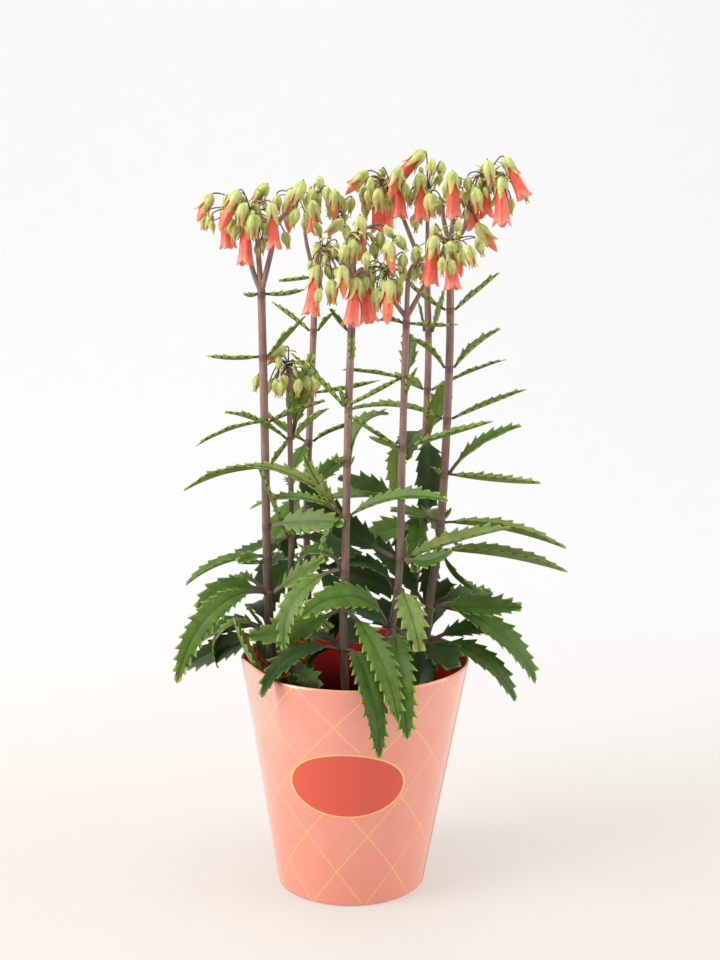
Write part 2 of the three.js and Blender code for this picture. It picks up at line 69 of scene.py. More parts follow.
def turns(count):
    # evenly spaced angles of one full turn
    return np.arange(count) * 2 * np.pi / count


def turned(radius, angle, height):
    # points at a distance and an angle round the z axis
    x, y = radius * np.cos(angle), radius * np.sin(angle)
    return np.stack([x, y, height + 0 * x], axis=-1)


def throughPoints(points, count):
    # Catmull-Rom curve: each stretch bends so that it leaves a point in the direction of its neighbours
    points = np.asarray(points, float)
    padded = np.vstack([2 * points[0] - points[1], points, 2 * points[-1] - points[-2]])
    along = np.linspace(0, len(points) - 1 - 1e-9, count)
    k = along.astype(int)
    t = (along - k)[:, None]
    a, b, c, d = padded[k], padded[k + 1], padded[k + 2], padded[k + 3]
    return 0.5 * (2 * b + (c - a) * t + (2 * a - 5 * b + 4 * c - d) * t**2 + (3 * b - a - 3 * c + d) * t**3)


def tube(path, radii, around):
    # a ring square to the path at each of its points, its first direction carried along without twisting
    ahead = unit(np.gradient(path, axis=0))
    side = np.empty_like(path)
    carried = np.cross([0.0, 1.0, 0.1], ahead[0])
    for i, direction in enumerate(ahead):
        carried = unit(carried - direction * np.dot(carried, direction))
        side[i] = carried
    over = np.cross(ahead, side)
    angle = turns(around)
    wheel = np.cos(angle)[None, :, None] * side[:, None] + np.sin(angle)[None, :, None] * over[:, None]
    return path[:, None] + np.asarray(radii).reshape(len(path), -1, 1) * wheel


def newBatch():
    return {"points": [], "quads": [], "tris": [], "quadSlots": [], "triSlots": [], "marks": {}, "count": 0}


def addRings(batch, rings, marks=None, slot=0):
    # rows x around x 3, each row anticlockwise seen from ahead; both ends close on their middle.
    # slot is the material's number, or a list of them, one for each row of faces
    rows, around = rings.shape[:2]
    index = batch["count"] + np.arange(rows * around).reshape(rows, around)
    beside = np.roll(index, -1, axis=1)
    batch["quads"].append(np.stack([index[:-1], beside[:-1], beside[1:], index[1:]], axis=-1).reshape(-1, 4))
    first = batch["count"] + rows * around
    lowEnd = np.stack([np.full(around, first), beside[0], index[0]], axis=-1)
    highEnd = np.stack([np.full(around, first + 1), index[-1], beside[-1]], axis=-1)
    batch["tris"] += [lowEnd, highEnd]
    batch["points"] += [rings.reshape(-1, 3), rings[[0, -1]].mean(1)]
    slots = np.broadcast_to(slot, rows - 1)
    batch["quadSlots"].append(np.repeat(slots, around))
    batch["triSlots"].append(np.repeat(slots[[0, -1]], around))
    for name, values in (marks or {}).items():
        full = np.broadcast_to(np.asarray(values, float), (rows, around))
        batch["marks"].setdefault(name, []).extend([full.reshape(-1), full[[0, -1]].mean(1)])
    batch["count"] += rows * around + 2


def newObject(name, data):
    made = bpy.data.objects.new(name, data)
    bpy.context.scene.collection.objects.link(made)
    return made


def makePiece(name, batch, materials, nodes):
    quads, tris = np.concatenate(batch["quads"]), np.concatenate(batch["tris"])
    sizes = np.concatenate([np.full(len(quads), 4), np.full(len(tris), 3)])
    mesh = bpy.data.meshes.new(name)
    mesh.vertices.add(batch["count"])
    mesh.vertices.foreach_set("co", (np.concatenate(batch["points"]) * mm).ravel())
    mesh.loops.add(quads.size + tris.size)
    mesh.loops.foreach_set("vertex_index", np.concatenate([quads.ravel(), tris.ravel()]))
    mesh.polygons.add(len(sizes))
    mesh.polygons.foreach_set("loop_start", np.concatenate([[0], np.cumsum(sizes)[:-1]]))
    for material in materials:
        mesh.materials.append(material)
    mesh.polygons.foreach_set("material_index", np.concatenate(batch["quadSlots"] + batch["triSlots"]))
    mesh.polygons.foreach_set("use_smooth", np.ones(len(sizes), bool))
    for label, values in batch["marks"].items():
        layer = mesh.attributes.new(label, "FLOAT", "POINT")
        layer.data.foreach_set("value", np.concatenate(values))
    mesh.update(calc_edges=True)
    piece = newObject(name, mesh)
    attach(piece, "root")
    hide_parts(*nodes)


# small helpers: shader nodes. work holds the tree that nodes are added to, the newest material's or
# group's; a socket is linked to another socket or set to a value

work = {"tree": None}


def fill(inputs, values):
    for key, value in values.items():
        if isinstance(value, bpy.types.NodeSocket):
            work["tree"].links.new(value, inputs[key])
        else:
            inputs[key].default_value = value


def makeNode(kind, values=None, **settings):
    made = work["tree"].nodes.new("ShaderNode" + kind)
    for key, value in settings.items():
        setattr(made, key, value)
    fill(made.inputs, values or {})
    return made.outputs


def math2(operation, a, b=0.5, clamp=False):
    return makeNode("Math", {0: a, 1: b}, operation=operation, use_clamp=clamp)[0]


def times(a, b):
    return math2("MULTIPLY", a, b)


def ramp(value, low, high):
    return makeNode("MapRange", {"Value": value, "From Min": low, "From Max": high},
                    interpolation_type="SMOOTHSTEP")["Result"]


def mix(share, a, b, blend="MIX"):
    return makeNode("Mix", {0: share, 6: a, 7: b}, data_type="RGBA", blend_type=blend)[2]


def mark(name):
    return makeNode("Attribute", attribute_name=name)["Fac"]


def place():
    return makeNode("TexCoord")["Object"]


def parts(where):
    return makeNode("SeparateXYZ", {0: where})


def newGroup(name, inputs, outputs):
    work["tree"] = tree = bpy.data.node_groups.new(name, "ShaderNodeTree")
    for label, kind in inputs.items():
        tree.interface.new_socket(name=label, in_out="INPUT", socket_type="NodeSocket" + kind)
    for label, kind in outputs.items():
        tree.interface.new_socket(name=label, in_out="OUTPUT", socket_type="NodeSocket" + kind)
    return tree, tree.nodes.new("NodeGroupInput").outputs, tree.nodes.new("NodeGroupOutput").inputs


def newMaterial(name):
    material = bpy.data.materials.new(name)
    material.use_nodes = True
    work["tree"] = tree = material.node_tree
    tree.nodes.clear()
    shader = tree.nodes.new("ShaderNodeBsdfPrincipled")
    output = tree.nodes.new("ShaderNodeOutputMaterial")
    tree.links.new(shader.outputs["BSDF"], output.inputs["Surface"])
    return material, shader.inputs


def finishSkin(shader, colour, roughness, bump, below=(0.0, 1.0, 0.2, 0.1)):
    # bump is a height, its strength and its depth in metres; below is the share of light that goes under
    # the surface and its reach in red, green and blue, in units of 2 mm
    raised = makeNode("Bump", dict(zip(("Height", "Strength", "Distance"), bump)))["Normal"]
    fill(shader, {"Base Color": colour, "Roughness": roughness, "Normal": raised,
         "Subsurface Weight": below[0], "Subsurface Radius": below[1:], "Subsurface Scale": 0.002})


# node groups shared by the materials

def mottleGroup():
    # two sizes of noise mixed into one colour between dark and light; the fine noise is 7.3 times finer
    tree, given, out = newGroup("Mottle", {"Vector": "Vector", "Scale": "Float", "Fine": "Float",
                                "Dark": "Color", "Light": "Color"}, {"Color": "Color", "Height": "Float"})
    broad = makeNode("TexNoise", {"Vector": given["Vector"], "Scale": given["Scale"], "Detail": 3.0,
                     "Roughness": 0.55})["Fac"]
    fine = makeNode("TexNoise", {"Vector": given["Vector"], "Scale": times(given["Scale"], 7.3),
                    "Detail": 2.0})["Fac"]
    both = makeNode("Mix", {0: given["Fine"], 2: broad, 3: fine}, data_type="FLOAT")[0]
    fill(out, {"Color": mix(ramp(both, 0.34, 0.66), given["Dark"], given["Light"]), "Height": both})
    return tree


def notchGroup():
    # rim and rib are millimetres from the margin and from the midrib; a spot sits in every notch, which
    # is at each whole number of the phase
    tree, given, out = newGroup("Leaf marks", dict.fromkeys(("Phase", "Rim", "Rib"), "Float"),
                                dict.fromkeys(("Spot", "Edge", "Midrib"), "Float"))
    part = math2("FRACT", math2("ADD", given["Phase"], 0.42))
    away = times(math2("ABSOLUTE", math2("SUBTRACT", part, 0.5)), 4.5)
    inward = times(given["Rim"], 1.5)
    far = math2("SQRT", math2("ADD", times(away, away), times(inward, inward)))
    fill(out, {"Spot": ramp(far, 1.25, 0.75), "Edge": ramp(given["Rim"], 0.7, 0.1),
               "Midrib": ramp(given["Rib"], 1.1, 0.1)})
    return tree


def lineGroup():
    # 1 where a value is within half the width of a whole number
    tree, given, out = newGroup("Thin line", {"Value": "Float", "Width": "Float"}, {"Mask": "Float"})
    part = math2("FRACT", math2("ADD", given["Value"], 0.5))
    off = math2("ABSOLUTE", math2("SUBTRACT", part, 0.5))
    fill(out, {"Mask": makeNode("MapRange", {"Value": off, "From Min": times(given["Width"], 0.7),
               "From Max": times(given["Width"], 0.4)})["Result"]})
    return tree


mottle = mottleGroup()
leafMarks = notchGroup()
thinLine = lineGroup()


def mottled(where, look):
    # the colour and its height; grain is the scale of the broad noise and the share of the fine one
    return makeNode("Group", {"Vector": where, "Scale": look["grain"][0], "Fine": look["grain"][1],
                    "Dark": look["dark"], "Light": look["light"]}, node_tree=mottle).values()


def plainMaterial(name, look):
    material, shader = newMaterial(name)
    colour, height = mottled(place(), look)
    finishSkin(shader, colour, look["roughness"], [height, *look["bump"]])
    return material


# materials of the plant; where dark and light are no tints, the base colour is multiplied by them

def stemMaterial():
    look = {"low": tint(106, 92, 74), "high": tint(160, 124, 114), "turn": [0.15, 0.32],
            "joint": tint(88, 56, 50), "jointShare": 0.55, "darkFoot": tint(62, 50, 42), "grain": [420.0, 0.4],
            "dark": (0.62, 0.60, 0.58, 1), "light": (1.12, 1.1, 1.08, 1), "roughness": 0.38}
    material, shader = newMaterial("Stem skin")
    where = place()
    base = mix(ramp(parts(where)["Z"], *look["turn"]), look["low"], look["high"])
    streaks, height = mottled(makeNode("Mapping", {"Vector": where, "Scale": (1.0, 1.0, 0.12)})[0], look)
    # towards its foot the skin turns to a darker colour, by the share that the stem's surface gives
    skin = mix(mark("footDarkness"), mix(1.0, base, streaks, "MULTIPLY"), look["darkFoot"])
    joint = times(ramp(mark("joint"), 0.25, 1.0), look["jointShare"])
    finishSkin(shader, mix(joint, skin, look["joint"]), look["roughness"], [height, 0.35, 0.0006],
               [0.05, 1.0, 0.2, 0.1])
    return material


def leafMaterial():
    # tone: 0 deep green, 0.5 fresh green, 1 grey green, 1.5 yellow green
    look = {"deep": tint(30, 54, 10), "fresh": tint(80, 114, 28), "grey": tint(136, 154, 80),
            "yellow": tint(128, 150, 46), "edge": tint(172, 196, 78), "spot": tint(50, 38, 34),
            "stalk": tint(116, 88, 78), "under": tint(84, 112, 44), "rib": tint(50, 78, 26),
            "dark": (0.70, 0.74, 0.68, 1), "light": (1.20, 1.17, 1.12, 1), "grain": [130.0, 0.35],
            "underShare": 0.5, "ribShare": 0.8, "edgeShare": 0.65, "roughness": [0.38, 0.58], "shine": 0.35}
    material, shader = newMaterial("Leaf")
    where, tone, under = place(), mark("tone"), mark("under")
    marks = makeNode("Group", {label: mark(label.lower()) for label in ("Phase", "Rim", "Rib")},
                     node_tree=leafMarks)
    colour = look["deep"]
    for low, name in ((0.0, "fresh"), (0.5, "grey"), (1.0, "yellow")):
        colour = mix(ramp(tone, low, low + 0.5), colour, look[name])
    varied, height = mottled(where, look)
    colour = mix(1.0, colour, varied, "MULTIPLY")
    shares = {"under": times(under, times(ramp(tone, 0.1, 0.7), look["underShare"])),
              "rib": times(marks["Midrib"], math2("SUBTRACT", look["ribShare"], under, True)),
              "edge": times(times(marks["Edge"], ramp(tone, -0.3, 0.5)), look["edgeShare"]),
              "spot": times(marks["Spot"], mark("spots")), "stalk": mark("stalk")}
    for name, share in shares.items():
        colour = mix(share, colour, look[name])
    rough = makeNode("MapRange", {"Value": height, "From Min": 0.3, "From Max": 0.7,
                     "To Min": look["roughness"][0], "To Max": look["roughness"][1]})["Result"]
    shader["Specular IOR Level"].default_value = look["shine"]
    veins = makeNode("TexWave", {"Vector": where, "Scale": 60.0, "Distortion": 6.0, "Detail": 2.0})["Fac"]
    finishSkin(shader, colour, rough, [math2("ADD", height, times(veins, 0.12)), 0.3, 0.0006],
               [0.08, 0.4, 1.0, 0.15])
    return material


def calyxMaterial():
    look = {"dark": tint(152, 174, 80), "light": tint(218, 218, 140), "blush": tint(206, 132, 98),
            "seam": tint(118, 142, 62), "toneShare": 0.6, "seamShare": 0.55, "grain": [240.0, 0.3],
            "roughness": 0.42}
    material, shader = newMaterial("Calyx")
    colour, height = mottled(place(), look)
    colour = mix(times(mark("tone"), look["toneShare"]), colour, look["light"])
    colour = mix(times(ramp(mark("seam"), 0.35, 1.0), look["seamShare"]), colour, look["seam"])
    colour = mix(times(ramp(mark("along"), 0.55, 1.0), mark("blush")), colour, look["blush"])
    finishSkin(shader, colour, look["roughness"], [height, 0.25, 0.0003], [0.2, 0.7, 1.0, 0.25])
    return material


def corollaMaterial():
    look = {"deep": tint(238, 76, 54), "coral": tint(255, 114, 92), "lobe": tint(255, 150, 128),
            "green": tint(196, 176, 96), "dark": (0.86, 0.82, 0.82, 1), "light": (1.08, 1.1, 1.1, 1),
            "ribShare": 0.35, "grain": [300.0, 0.3], "roughness": 0.4}
    material, shader = newMaterial("Corolla")
    along = mark("along")
    colour = mix(ramp(along, 0.1, 0.65), look["deep"], look["coral"])
    colour = mix(ramp(along, 0.72, 1.0), colour, look["lobe"])
    varied, height = mottled(place(), look)
    colour = mix(1.0, colour, varied, "MULTIPLY")
    colour = mix(times(ramp(mark("seam"), 0.2, 1.0), look["ribShare"]), colour, look["deep"])
    colour = mix(times(mark("unripe"), ramp(along, 0.95, 0.3)), colour, look["green"])
    finishSkin(shader, colour, look["roughness"], [height, 0.2, 0.0003], [0.25, 1.0, 0.35, 0.25])
    return material


stemSkin = stemMaterial()
stalkSkin = plainMaterial("Flower stalk", {"dark": tint(78, 50, 50), "light": tint(132, 96, 90),
                          "grain": [260.0, 0.3], "roughness": 0.45, "bump": [0.2, 0.0003]})
leafSkin = leafMaterial()
calyxSkin = calyxMaterial()
corollaSkin = corollaMaterial()
print("materials for the plant ready")


# stems: y, the path as [x, z] from the soil to the fork, and the radius at both ends

stems = {
    "a": {"y": -8, "path": [[-42, 76], [-46, 121], [-49, 187], [-50, 285], [-51, 360]], "thick": [2.8, 2.3]},
    "b": {"y": -2, "path": [[-34, 76], [-36, 171], [-35, 224], [-36, 312]], "thick": [1.9, 1.5]},
    "c": {"y": 30, "path": [[-24, 76], [-27, 198], [-26, 251], [-22, 341], [-22, 372]], "thick": [2.4, 1.9]},
    "d": {"y": -25, "path": [[-1, 76], [-4, 157], [-3, 201], [-1, 290], [2, 368]], "thick": [2.6, 2.1]},
    "e": {"y": -20, "path": [[13, 76], [20, 141], [28, 190], [30, 270], [32, 346]], "thick": [2.5, 2.0]},
    "f": {"y": 35, "path": [[31, 76], [37, 147], [43, 214], [47, 310], [46, 365]], "thick": [2.5, 2.0]},
    "g": {"y": 5, "path": [[40, 76], [47, 165], [54, 222], [58, 315], [58, 385]], "thick": [2.8, 2.2]},
}

# whorls: name (its letter is the stem's), height, then for each leaf its bearing (0 = +X, 90 = +Y), rise
# at the stem, bend down along its length, length, width, fold of its halves and roll
whorls = [
    ["a1", 358, [[176, -18, -30, 8, 5, 50, -8], [8, -5, -21, 23, 5, 50, 10]]],
    ["a2", 322, [[181, -5, -11, 30, 5, 55, -4], [345, 48, 6, 33, 8, 50, 13]]],
    ["a3", 284, [[185, -5, 32, 41, 5, 55, 6], [6, 28, 18, 35, 7, 55, 10]]],
    ["a4", 257, [[194, 6, 42, 48, 11, 48, 1], [41, 45, 3, 28, 5, 50, -6]]],
    ["a5", 222, [[337, 19, 25, 49, 18, 12, 63]]],
    ["a6", 204, [[175, 3, 51, 52, 13, 35, -10], [205, 8, 34, 16, 11, 30, -36]]],
    ["a7", 182, [[235, 20, 90, 95, 20, 12, -38], [137, 30, 121, 75, 17, 25, -10],
        [343, 35, -1, 40, 15, 25, 58], [189, 33, 92, 45, 18, 20, -46]]],
    ["a8", 158, [[177, 46, 171, 55, 12, 20, -12], [175, -21, 10, 55, 19, 25, -64],
        [196, 67, 24, 21, 13, 20, 3], [348, 66, 123, 42, 15, 20, 40], [163, 23, 80, 51, 22, 20, -27],
        [112, 70, 126, 41, 14, 20, -15]]],
    ["a9", 126, [[209, 55, -16, 50, 13, 40, -33], [109, 62, 68, 51, 18, 20, -6]]],
    ["b1", 273, [[223, 42, 38, 50, 7, 48, -22], [323, 53, 33, 34, 8, 50, 3], [48, 77, 12, 52, 22, 20, 26]]],
    ["b2", 214, [[218, 61, -6, 52, 6, 50, -7], [320, 78, 32, 11, 5, 40, 0],
        [108, -14, 106, 18, 16, 20, -16], [160, -17, 10, 43, 12, 20, -26], [17, 0, 54, 51, 19, 20, 48]]],
    ["b3", 125, [[267, 15, -14, 47, 16, 25, 16], [63, 37, 75, 24, 15, 20, 42],
        [302, 43, 71, 33, 18, 20, 40]]],
    ["c1", 334, [[170, 41, 10, 29, 5, 50, -10], [347, 59, 24, 17, 5, 50, 2]]],
    ["c2", 297, [[346, 8, -7, 41, 6, 50, 5]]],
    ["c3", 267, [[172, 32, -6, 34, 10, 50, 5], [3, 41, 45, 34, 6, 50, 3], [247, -31, 13, 23, 20, 20, 5]]],
    ["c4", 237, [[25, 52, 35, 32, 15, 20, 32], [103, 21, 57, 53, 17, 25, -14],
        [221, -40, 19, 48, 20, 12, -31]]],
    ["c5", 190, [[238, 32, 122, 53, 19, 25, -20], [80, 34, 105, 57, 24, 20, 8],
        [317, -20, 37, 43, 15, 20, 14], [346, 82, 135, 23, 17, 20, 24], [357, -6, 25, 61, 23, 20, 48],
        [129, 22, 101, 66, 23, 20, 12]]],
    ["d1", 338, [[149, 39, -9, 17, 6, 45, -6], [282, -87, 11, 19, 5, 20, -4]]],
    ["d2", 295, [[188, 52, 14, 43, 12, 50, -11], [214, 69, -1, 12, 16, 40, 18]]],
    ["d3", 263, [[43, 97, 118, 47, 15, 35, -5], [220, 55, 26, 5, 5, 30, -7]]],
    ["d4", 232, [[181, 56, 58, 66, 11, 40, -30], [154, 31, 66, 65, 11, 30, -25],
        [331, 36, 47, 65, 23, 35, 36], [167, 47, -19, 41, 11, 25, -42], [205, -32, 60, 29, 7, 40, 0]]],
    ["d5", 200, [[203, -5, 97, 65, 17, 20, -33], [142, 58, 147, 49, 13, 30, -36]]],
    ["d6", 176, [[298, -7, 64, 84, 19, 15, 6], [189, -32, -34, 56, 22, 15, -37],
        [102, -4, 77, 47, 16, 20, -13]]],
    ["d7", 152, [[290, 23, 122, 91, 18, 15, 5], [218, 25, 88, 64, 18, 30, -26], [150, 4, 76, 30, 14, 20, 0],
        [132, 22, 54, 41, 12, 20, -17], [77, 17, 4, 34, 21, 20, 45]]],
    ["e1", 342, [[140, 23, 44, 18, 5, 50, 6], [355, -5, -6, 27, 5, 50, 0]]],
    ["e2", 311, [[178, 17, 20, 34, 5, 50, 6], [201, -26, -2, 37, 5, 50, -9], [66, 67, -20, 25, 12, 20, 3]]],
    ["e3", 271, [[194, 34, 2, 38, 5, 50, 0], [202, 21, 4, 19, 11, 35, 6], [350, 21, 7, 52, 9, 45, 9],
        [96, -5, 107, 48, 14, 25, 11]]],
    ["e4", 242, [[166, 24, 20, 37, 17, 25, -41], [163, 6, 23, 44, 16, 40, -24]]],
    ["e5", 205, [[0, 28, 23, 66, 15, 38, 18], [330, -6, -43, 34, 19, 20, 53],
        [162, 24, -23, 73, 23, 15, -44]]],
    ["e6", 187, [[288, 4, 79, 51, 19, 15, 2], [174, 72, 106, 41, 15, 25, -27]]],
    ["e7", 164, [[216, 68, 108, 75, 20, 15, -43], [280, 10, 103, 85, 19, 20, 0],
        [335, -34, 53, 16, 16, 20, 0], [139, 27, 30, 28, 14, 20, -23]]],
    ["f1", 333, [[330, 68, -8, 26, 8, 10, 56], [164, 85, 17, 19, 5, 20, 3]]],
    ["f2", 298, [[343, 32, 18, 50, 5, 50, 1], [178, 43, 40, 20, 15, 40, -17]]],
    ["f3", 269, [[305, 69, 11, 40, 21, 10, -18], [278, 0, 163, 65, 22, 10, -11],
        [102, 20, 98, 50, 22, 20, -12]]],
    ["f4", 215, [[262, 47, 150, 63, 17, 25, -5], [75, 26, 92, 71, 19, 20, 7], [199, 2, 36, 38, 20, 15, -42],
        [145, -19, 116, 34, 21, 20, -1]]],
    ["g1", 348, [[8, 42, 7, 34, 6, 50, 10], [175, 28, -20, 35, 6, 50, -10]]],
    ["g2", 314, [[2, 56, 33, 36, 8, 40, 20], [192, 65, 59, 34, 8, 50, -11]]],
    ["g3", 284, [[357, 27, 10, 47, 6, 45, 21], [178, 28, 48, 59, 7, 45, -20]]],
    ["g4", 251, [[352, 58, 47, 53, 14, 25, 26], [210, 60, 47, 7, 6, 40, 3], [357, -4, 3, 55, 12, 42, 4]]],
    ["g5", 222, [[350, 4, 30, 74, 17, 38, 0], [171, 30, 37, 29, 17, 30, -16]]],
    ["g6", 205, [[359, 6, 32, 77, 19, 38, 6], [21, -71, -51, 42, 20, 25, 10], [75, 28, 76, 57, 15, 25, 5],
        [108, -35, 85, 47, 18, 20, -15]]],
    ["g7", 170, [[351, 6, 9, 53, 19, 25, 37], [2, -3, 70, 84, 21, 18, 42], [37, 71, 65, 20, 17, 20, 24],
        [42, 15, 31, 52, 15, 20, 37], [163, 55, 15, 57, 20, 20, -29]]],
    ["g8", 148, [[347, 5, 77, 67, 20, 18, 29], [10, 30, 51, 48, 15, 30, 43], [295, 4, 34, 34, 24, 15, 20],
        [255, -36, 37, 32, 23, 15, 1], [75, 53, 76, 63, 20, 20, -10], [140, 33, 37, 57, 24, 20, -38]]],
]


def stemPath(stem, count):
    return throughPoints([[x, stem["y"], z] for x, z in stem["path"]], count)


def stemRadius(stem, z):
    return np.interp(z, [stem["path"][0][1], stem["path"][-1][1]], stem["thick"])


def stemAt(stem, z):
    path = stemPath(stem, 200)
    return np.array([np.interp(z, path[:, 2], path[:, 0]), stem["y"], z]), float(stemRadius(stem, z))


def stemSurface(batch, name):
    # radius shrinks up the stem and swells by up to swell mm within reach mm of each whorl; the last entry
    # gives the heights between which a stem's darker foot fades out upwards and the share of the dark foot
    # colour
    form = {"swell": 0.12, "reach": 2.6, "below": 1.5, "around": 20, "step": 1.2, "rough": 0.04,
            "darkFoot": {"a": [175, 225, 0.75], "g": [165, 235, 0.5]}}
    stem = stems[name]
    path = stemPath(stem, int((stem["path"][-1][1] - stem["path"][0][1]) / form["step"]))
    z = path[:, 2:]
    joint = np.zeros_like(z)
    for whorl, height, _ in whorls:
        if whorl[0] == name:
            joint = np.maximum(joint, np.exp(-((z - height + form["below"]) / form["reach"]) ** 2))
    low, high, most = form["darkFoot"].get(name, (0, 1, 0))
    angle = turns(form["around"])
    ridges = form["rough"] * (np.sin(3 * angle + draw(0, 6)) + np.sin(5 * angle))
    radii = stemRadius(stem, z) + form["swell"] * joint + ridges
    footDarkness = most * (1 - smooth(low, high, z))
    addRings(batch, tube(path, radii, form["around"]), {"joint": joint, "footDarkness": footDarkness})


for name in stems:
    batch = newBatch()
    stemSurface(batch, name)
    makePiece("stem" + name.upper(), batch, [stemSkin], ["stem_" + name])
print("stems ready")


# leaves: stalk is the petiole's share of the length, pitch and tooth the width and depth of a tooth (least
# and most times), more what the outline gains on the row's width; belly and front set where the blade is
# widest, lean how far teeth point ahead; toothMost and stalkMost are shares of the width

leafForms = {
    "both": {"pitchMore": 0.18, "sway": 0.05, "twist": 10, "toothMost": 0.17, "most": 1.25,
             "stalkMost": 0.12, "tip": 0.12, "soft": 0.6, "wave": [0.15, 0.4], "keelHalf": 1.1,
             "groove": 0.22, "grooveHalf": 0.5, "stalkTone": 0.8, "spots": 0.9},
    "folded": {"stalk": 0.06, "pitch": 3.2, "tooth": 2.4, "least": 0.3, "thick": 1.0, "keel": 0.45,
               "curl": 0.0, "belly": 0.62, "front": 0.85, "lean": 0.6, "stalkHalf": 0.75, "more": 2.2},
    "broad": {"stalk": 0.17, "pitch": 3.0, "tooth": 3.0, "least": 0.5, "thick": 0.85, "keel": 0.7,
              "curl": 0.10, "belly": 0.72, "front": 0.80, "lean": 0.7, "stalkHalf": 1.4, "more": 1.1},
}
toothSteps = np.array([0.0, 0.2, 0.4, 0.58, 0.70, 0.78, 0.86, 0.93])
sectionTop = np.array([1.0, 0.94, 0.84, 0.68, 0.46, 0.22, 0.08])
sectionTop = np.append(sectionTop, -sectionTop[::-1])


def toothShape(part, peak=0.78):
    # rises along the margin, then drops steeply towards the tip
    return np.where(part < peak, (part / peak) ** 1.5, ((1 - part) / (1 - peak)) ** 0.8)


def leafSurface(batch, base, row, tone, share=1.0):
    # the middle line is an arc in the upright plane of the bearing; the section is a folded lens with a
    # keel below, its edges pushed out and forward by the teeth
    bearing, rise, bend, length, width, fold, roll = row
    form = {**leafForms["both"], **leafForms["folded" if fold >= 35 else "broad"]}
    petiole = form["stalk"]
    width = (width + form["more"]) * share
    teeth = max(3, int(round(length * (1 - petiole) / (form["pitch"] + form["pitchMore"] * width))))
    steps = np.append((np.arange(teeth)[:, None] + toothSteps).ravel(), teeth)[:, None] / teeth
    along = np.concatenate([np.linspace(0, petiole, 6)[:-1, None], petiole + (1 - petiole) * steps])
    blade = np.concatenate([np.zeros((5, 1)), steps])
    phase = blade * teeth
    r, b = math.radians(rise), math.radians(bend) or 1e-4
    slope = r - b * along
    outward, flat, up = heading(bearing), heading(bearing + 90), np.array([0.0, 0.0, 1.0])
    sway = draw(-form["sway"], form["sway"]) * length
    twist = np.radians(roll + draw(-form["twist"], form["twist"]) * along)
    middle = base + outward * (length * (np.sin(r) - np.sin(slope)) / b)
    middle = middle + up * (length * (np.cos(slope) - math.cos(r)) / b)
    middle = middle + flat * (sway * np.sin(np.pi * along * 0.8))
    ahead = outward * np.cos(slope) + up * np.sin(slope)
    side = flat * np.cos(twist) + np.cross(ahead, flat) * np.sin(twist)
    over = np.cross(ahead, side)
    # teeth: their depth along the margin, each of another size, fading at both ends of the blade
    deep = min(form["tooth"], form["toothMost"] * width)
    tooth = deep * toothShape(phase % 1) * smooth(0.0, 0.10, blade) * (1 - smooth(0.93, 1.0, blade))
    tooth = tooth * draw(form["least"], form["most"], teeth + 1)[np.minimum(phase, teeth - 1).astype(int)]
    belly = np.sin(np.pi * np.clip(blade, 0, 1) ** form["front"]) ** form["belly"]
    stalkHalf = min(form["stalkHalf"], form["stalkMost"] * width) * (1 - smooth(0.7, 1.0, blade))
    half = np.maximum((0.5 * width - deep) * belly, stalkHalf + form["tip"])
    # section: q runs from 1 at one edge over the top to -1 at the other, and back below
    q = np.concatenate([sectionTop, sectionTop[1:-1][::-1]])
    face = np.concatenate([np.ones(len(sectionTop)), -np.ones(len(sectionTop) - 2)])
    face[[0, len(sectionTop) - 1]] = 0
    reach = np.abs(q)
    toothed = reach**4 * tooth
    span = q * half + np.sign(q) * toothed
    folded = math.radians(fold)
    lift = math.sin(folded) * (np.sqrt(span**2 + form["soft"]) - math.sqrt(form["soft"]) - 0.5 * half)
    wave = draw(*form["wave"]) * np.sin(phase * 1.9 + draw(0, 6)) * reach**2
    lift = lift + (wave - form["curl"] * reach**3 * half) * smooth(0.05, 0.3, blade)
    body = 0.5 * form["thick"] * np.sqrt(np.clip(1 - reach**3, 0, 1)) * (1 - 0.55 * smooth(0.6, 1, blade))
    keel = form["keel"] * (1 - 0.8 * along) * np.exp(-((span / form["keelHalf"]) ** 2))
    groove = form["groove"] * np.exp(-((span / form["grooveHalf"]) ** 2)) * smooth(0.02, 0.2, blade)
    depth = np.where(face > 0, body - groove, -body - keel) * np.abs(face)
    shift = [(side, span * math.cos(folded)), (over, lift + depth), (ahead, form["lean"] * toothed)]
    rings = middle[:, None] + sum(way[:, None] * size[..., None] for way, size in shift)
    stalk = form["stalkTone"] * (1 - smooth(0.35 * petiole, 1.4 * petiole + 0.02, along))
    addRings(batch, rings, {"phase": phase, "rim": (1 - reach) * half, "rib": np.abs(span), "tone": tone,
             "stalk": stalk, "under": face < 0, "spots": form["spots"]})


def collarSurface(batch, base, radius):
    # a low ring that closes round the stem, from which the petioles spring
    form = {"half": 1.3, "bulge": 0.12, "off": 0.02, "rings": 9, "around": 24}
    t = np.linspace(-1, 1, form["rings"])
    path = base + np.array([0, 0, form["half"]]) * t[:, None]
    bulge = radius + form["off"] + form["bulge"] * np.cos(1.45 * t)
    addRings(batch, tube(path, bulge, form["around"]), {"phase": 0.5, "rim": 5.0, "rib": 5.0, "tone": 0.5,
             "stalk": 1.0, "under": 0.0, "spots": 0.0})


def addLeaf(batch, stemName, z, gap, row, tone, share=1.0):
    # gap is how far outside the stem's skin the leaf's middle line starts
    base, radius = stemAt(stems[stemName], z)
    leafSurface(batch, base + heading(row[0]) * (radius + gap), row, tone, share)
